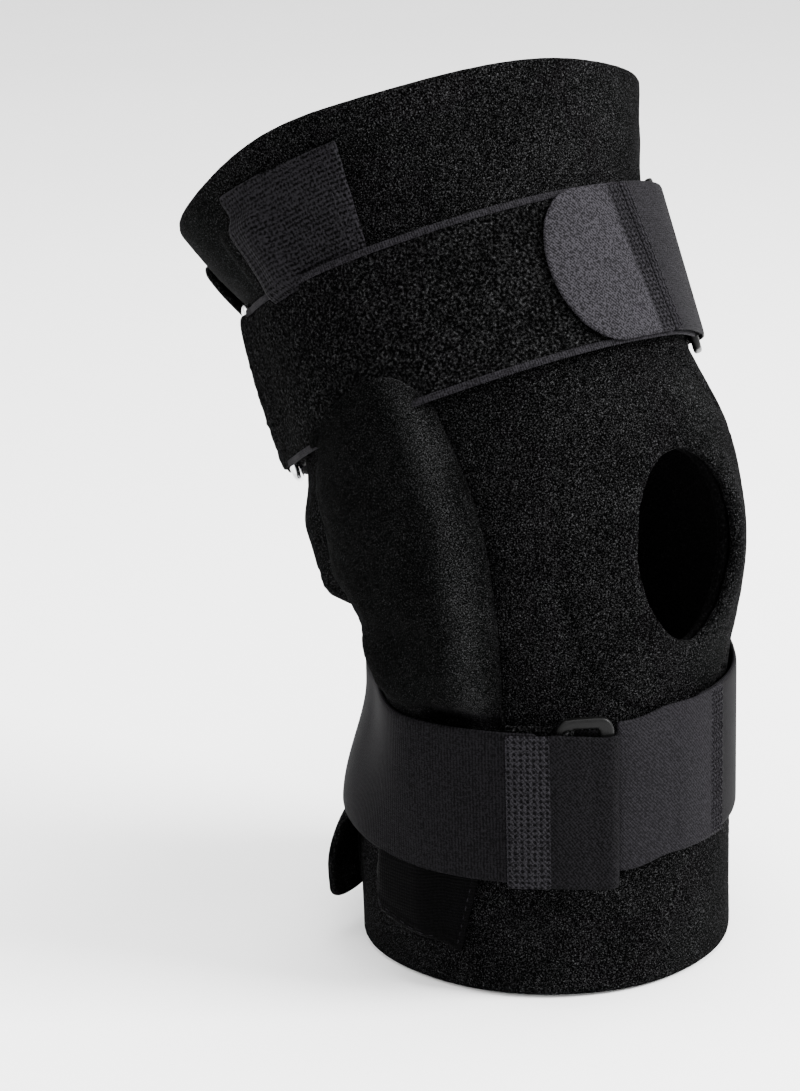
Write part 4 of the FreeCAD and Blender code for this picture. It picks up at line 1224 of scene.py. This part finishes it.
def rounded_ring(half_w, half_l, corner, steps=6, sides=8):
    """Places (across, up) on a rounded rectangle, each with the direction it faces."""
    path = []
    for cx, cy, first in ((1, 1, 0), (-1, 1, 90), (-1, -1, 180), (1, -1, 270)):
        for i in range(steps + 1):
            turn = math.radians(first + 90 * i / steps)
            path.append((cx * (half_w - corner) + corner * math.cos(turn),
                         cy * (half_l - corner) + corner * math.sin(turn), turn))
    dense = []
    for (a, b, turn), (c, d, _) in zip(path, path[1:] + path[:1]):
        parts = sides if math.hypot(c - a, d - b) > 4 else 1
        dense += [(a + (c - a) * j / parts, b + (d - b) * j / parts, turn) for j in range(parts)]
    return dense


def ring_piece(name, ring, low, material, half, thick, corner, square=None, lean=None):
    """A closed ring round its slot. half is from its middle to the middles of its sides and ends,
    and thick is (wide, deep). square flattens its faces, and thins its ends. Its middle is half
    a strap above low."""
    angle = math.radians(ring[0])
    c, s = math.cos(angle), math.sin(angle)
    x, y = around(*ring)
    bm = bmesh.new()
    loops = []
    count = 12
    for a, b, turn in rounded_ring(*half, corner):
        loop = []
        for i in range(count):
            t = math.tau * (i + 0.5) / count
            across, out = [wide / 2 * math.copysign(abs(way) ** (square or 1.0), way)
                           for wide, way in zip(thick, (math.cos(t), math.sin(t)))]
            if square and abs(math.sin(turn)) > 0.9:
                across *= 0.75
            side, up = a + across * math.cos(turn), b + across * math.sin(turn)
            spot = (x - side * c - out * s, y + side * s - out * c)
            spot = leant(spot, ring[0], up + WIDTH / 2, lean)
            loop.append(bm.verts.new(section(low + WIDTH / 2 + up, *spot)))
        loops.append(loop)
    for loop, after in zip(loops, loops[1:] + loops[:1]):
        join_loops(bm, loop, after)
    piece = closed_piece(name, bm)
    subdivide(piece, 1)
    return dress(piece, material)


FLAT_RING = dict(material=BLACK_PLASTIC, half=(BAR_STEP, 26.7), thick=(5.0, 3.0), corner=3.2,
                 square=0.55)
declare(ring_piece("front_ring", FRONT_RING, upper_low(-45), lean=upper_lean, **FLAT_RING),
        "thigh", "ring_black", "upper_front_ring")
declare(ring_piece("calf_ring", LOWER_RING, lower_low(30) + 0.6, **FLAT_RING),
        "calf", "ring_black", "lower_ring")
declare(ring_piece("rear_ring", REAR_RING, upper_low(131), SILVER, (WIRE_STEP, 27.9), (3.2, 3.2), 4.0,
                   lean=upper_lean), "thigh", "ring_silver", "upper_rear_ring")


# ---- pockets over the stays' ends

def pocket(name, corners, seams, stand, body, nodes, closed_end, material):
    """A webbing patch sewn down along its seams, over the end of a stay."""
    line = [(u * PHI_MM, v) for v, u in corners]
    inside = outline_cut(line)
    us, vs = zip(*line)

    def place(u, v, depth):
        free = smooth((v - closed_end[0]) / (closed_end[1] - closed_end[0]))
        swell = stand * smooth(inside(u, v) / 7.0) * (1 - 0.75 * free)
        return off_sleeve(u, v, 1.6 + swell - 1.2 * depth)

    def detail(u, v, depth):
        gap = inside(u, v)
        return (0.5 * smooth((4.2 - gap) / 0.8) - 0.5 * bell(gap - 2.4, 0.5)) if depth < 0.5 else 0.0

    flat = flat_cut((min(us), max(us)), (min(vs), max(vs)), 1.8, inside)
    piece = dress(sewn(name, flat, place, 1, detail), material)
    declare(piece, body, "pocket_webbing", *nodes)
    runs = []
    for seam in seams:
        runs += running([(phi * PHI_MM, station) for station, phi in seam])
    declare(stitches(name + "_stitches", place, runs, 0.2, 0.25), body, "pocket_webbing")


for side, sign in (("lateral", 1), ("medial", -1)):
    high = [(thigh(117.5), sign * 91), (thigh(115), sign * 55.5), (thigh(80), sign * 60.5),
            (thigh(80), sign * 92)]
    hems = [[(thigh(117.4 - inset), sign * 89), (thigh(114.6 - inset), sign * (56.5 + inset)),
             (thigh(81), sign * (61 + inset))] for inset in (1.2, 3.4)]
    pocket(side + "_thigh_pocket", high, hems, 2.6, "thigh", [side + "_upper_pocket"],
           (thigh(98), thigh(112)), POCKET_WEB)
    low = [(46, sign * 104), (46, sign * 65.5), (40, sign * 66), (13.5, sign * 72), (24, sign * 100)]
    hems = [[(45, sign * 67.3), (40, sign * 67.6), (15.4, sign * 73.2), (25.4, sign * 98.4)]]
    pocket(side + "_calf_pocket", low, hems, 1.2, "calf", [side + "_lower_pocket"], (30, 12),
           LOW_POCKET)


# ---- rear closures

def flap(name, phis, stations, body, node_name, roll, strap_edge=LEG_TOP):
    """A closing flap of the sleeve: it laps over the other rear edge, and its free edge lifts.
    It is pressed flat from the strap's lower edge up."""
    us = phis[0] * PHI_MM, phis[1] * PHI_MM
    centre, half = zip(*(((b + a) / 2, (b - a) / 2) for a, b in (us, stations)))

    def place(u, v, depth):
        lift = roll * smooth((phis[0] + 16 - u / PHI_MM) / 16)
        lift *= 0.35 + 0.65 * smooth((stations[0] + 40 - v) / 30)
        wavy = 0.6 * noise.noise(Vector((u * 0.04, v * 0.05, 12.0)))
        free = smooth((strap_edge + 14 - v) / 20)
        thick = 1.2 + 1.8 * free
        return off_sleeve(u, v, 0.3 + (1.0 + lift + wavy) * free + thick * (1 - depth))

    flat = flat_cut(us, stations, 3.0, lambda u, v: box_cut(u, v, centre, half, 9.0))
    declare(dress(sewn(name, flat, place), NEOPRENE_CLOTH), body, "neoprene", node_name)


flap("calf_flap", (124, 219), (11, 88), "calf", "calf_rear_flap", 7.5, 46)
flap("thigh_flap", (144, 218), (thigh(52), thigh(116)), "thigh", "thigh_rear_flap", 1.0)


def hook_patch(name, phis, stations, body, node_name):
    flat = flat_cut((phis[0] * PHI_MM, phis[1] * PHI_MM), stations, 2.5)
    piece = sewn(name, flat, lambda u, v, depth: off_sleeve(u, v, 1.1 - 0.8 * depth))
    declare(dress(piece, HOOK), body, "hook_strip", node_name)


hook_patch("calf_hooks", (133, 147), (14, 62), "calf", "calf_closure_hook")
hook_patch("thigh_hooks", (146, 149.5), (thigh(80), thigh(112)), "thigh", "thigh_closure_hook")


# ---- stage

def set_stage():
    bpy.ops.mesh.primitive_plane_add(size=8.0, location=(0, 0, -0.0006))
    floor = bpy.context.object
    floor.name = "floor"
    material, tree, shader = new_material("floor_paper")
    tone = grain(tree, object_places(tree), 3.0)
    plug(tree, shader, {"Base Color": ramp(tree, tone, [(0.3, grey(0.86)), (0.7, grey(0.88))]),
                        "Roughness": 0.9})
    floor.data.materials.append(material)
    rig.stage(floor)
    world = bpy.data.worlds.new("studio")
    bpy.context.scene.world = world
    world.use_nodes = True
    plug(world.node_tree, world.node_tree.nodes["Background"], {"Color": (1, 1, 1, 1), "Strength": 2.0})
    target = Vector((0, 0, 0.15))
    for name, spot, size, power in (
            ("key", (0.75, -1.1, 0.95), 0.6, 105.0), ("fill", (-1.0, -1.0, 0.9), 1.0, 10.0),
            ("side", (-0.9, 1.0, 0.9), 0.8, 10.0), ("top", (0.15, 0.1, 1.8), 1.2, 60.0)):
        data = bpy.data.lights.new(name, "AREA")
        data.size = size
        data.energy = power
        lamp = shown(name, data)
        lamp.location = spot
        lamp.rotation_mode = "QUATERNION"
        lamp.rotation_quaternion = (target - Vector(spot)).to_track_quat("-Z", "Y")


def set_camera():
    """The photograph's view: the knee a little right of the middle of the picture."""
    azimuth, elevation, roll = [math.radians(turn) for turn in (-43.9, 16.8, 0.8)]
    distance = 0.979
    knee_in_view = Vector((0.0484567, 0.0094590, -1.0))
    back = Vector((math.sin(azimuth) * math.cos(elevation), -math.cos(azimuth) * math.cos(elevation),
                   math.sin(elevation)))
    data = bpy.data.cameras.new("camera")
    data.lens = 99.4207
    data.clip_start, data.clip_end = 0.01, 50
    camera = shown("camera", data)
    camera.location = Vector((0, 0, KNEE_Z * MM)) + back * distance
    camera.rotation_mode = "QUATERNION"
    aim = (-back).to_track_quat("-Z", "Y") @ Quaternion((0, 0, -1), roll)
    camera.rotation_quaternion = aim @ knee_in_view.rotation_difference(Vector((0, 0, -1)))
    bpy.context.scene.camera = camera


set_stage()
set_camera()

for mesh in bpy.data.meshes:
    if "flat" in mesh.attributes:
        mesh.attributes.remove(mesh.attributes["flat"])

bpy.context.view_layer.update()
shown_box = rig.bounds()
with open("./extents.json", "w") as out:
    json.dump({"cad": [list(corner) for corner in cad_box],
               "visual": [list(corner) for corner in shown_box]}, out)
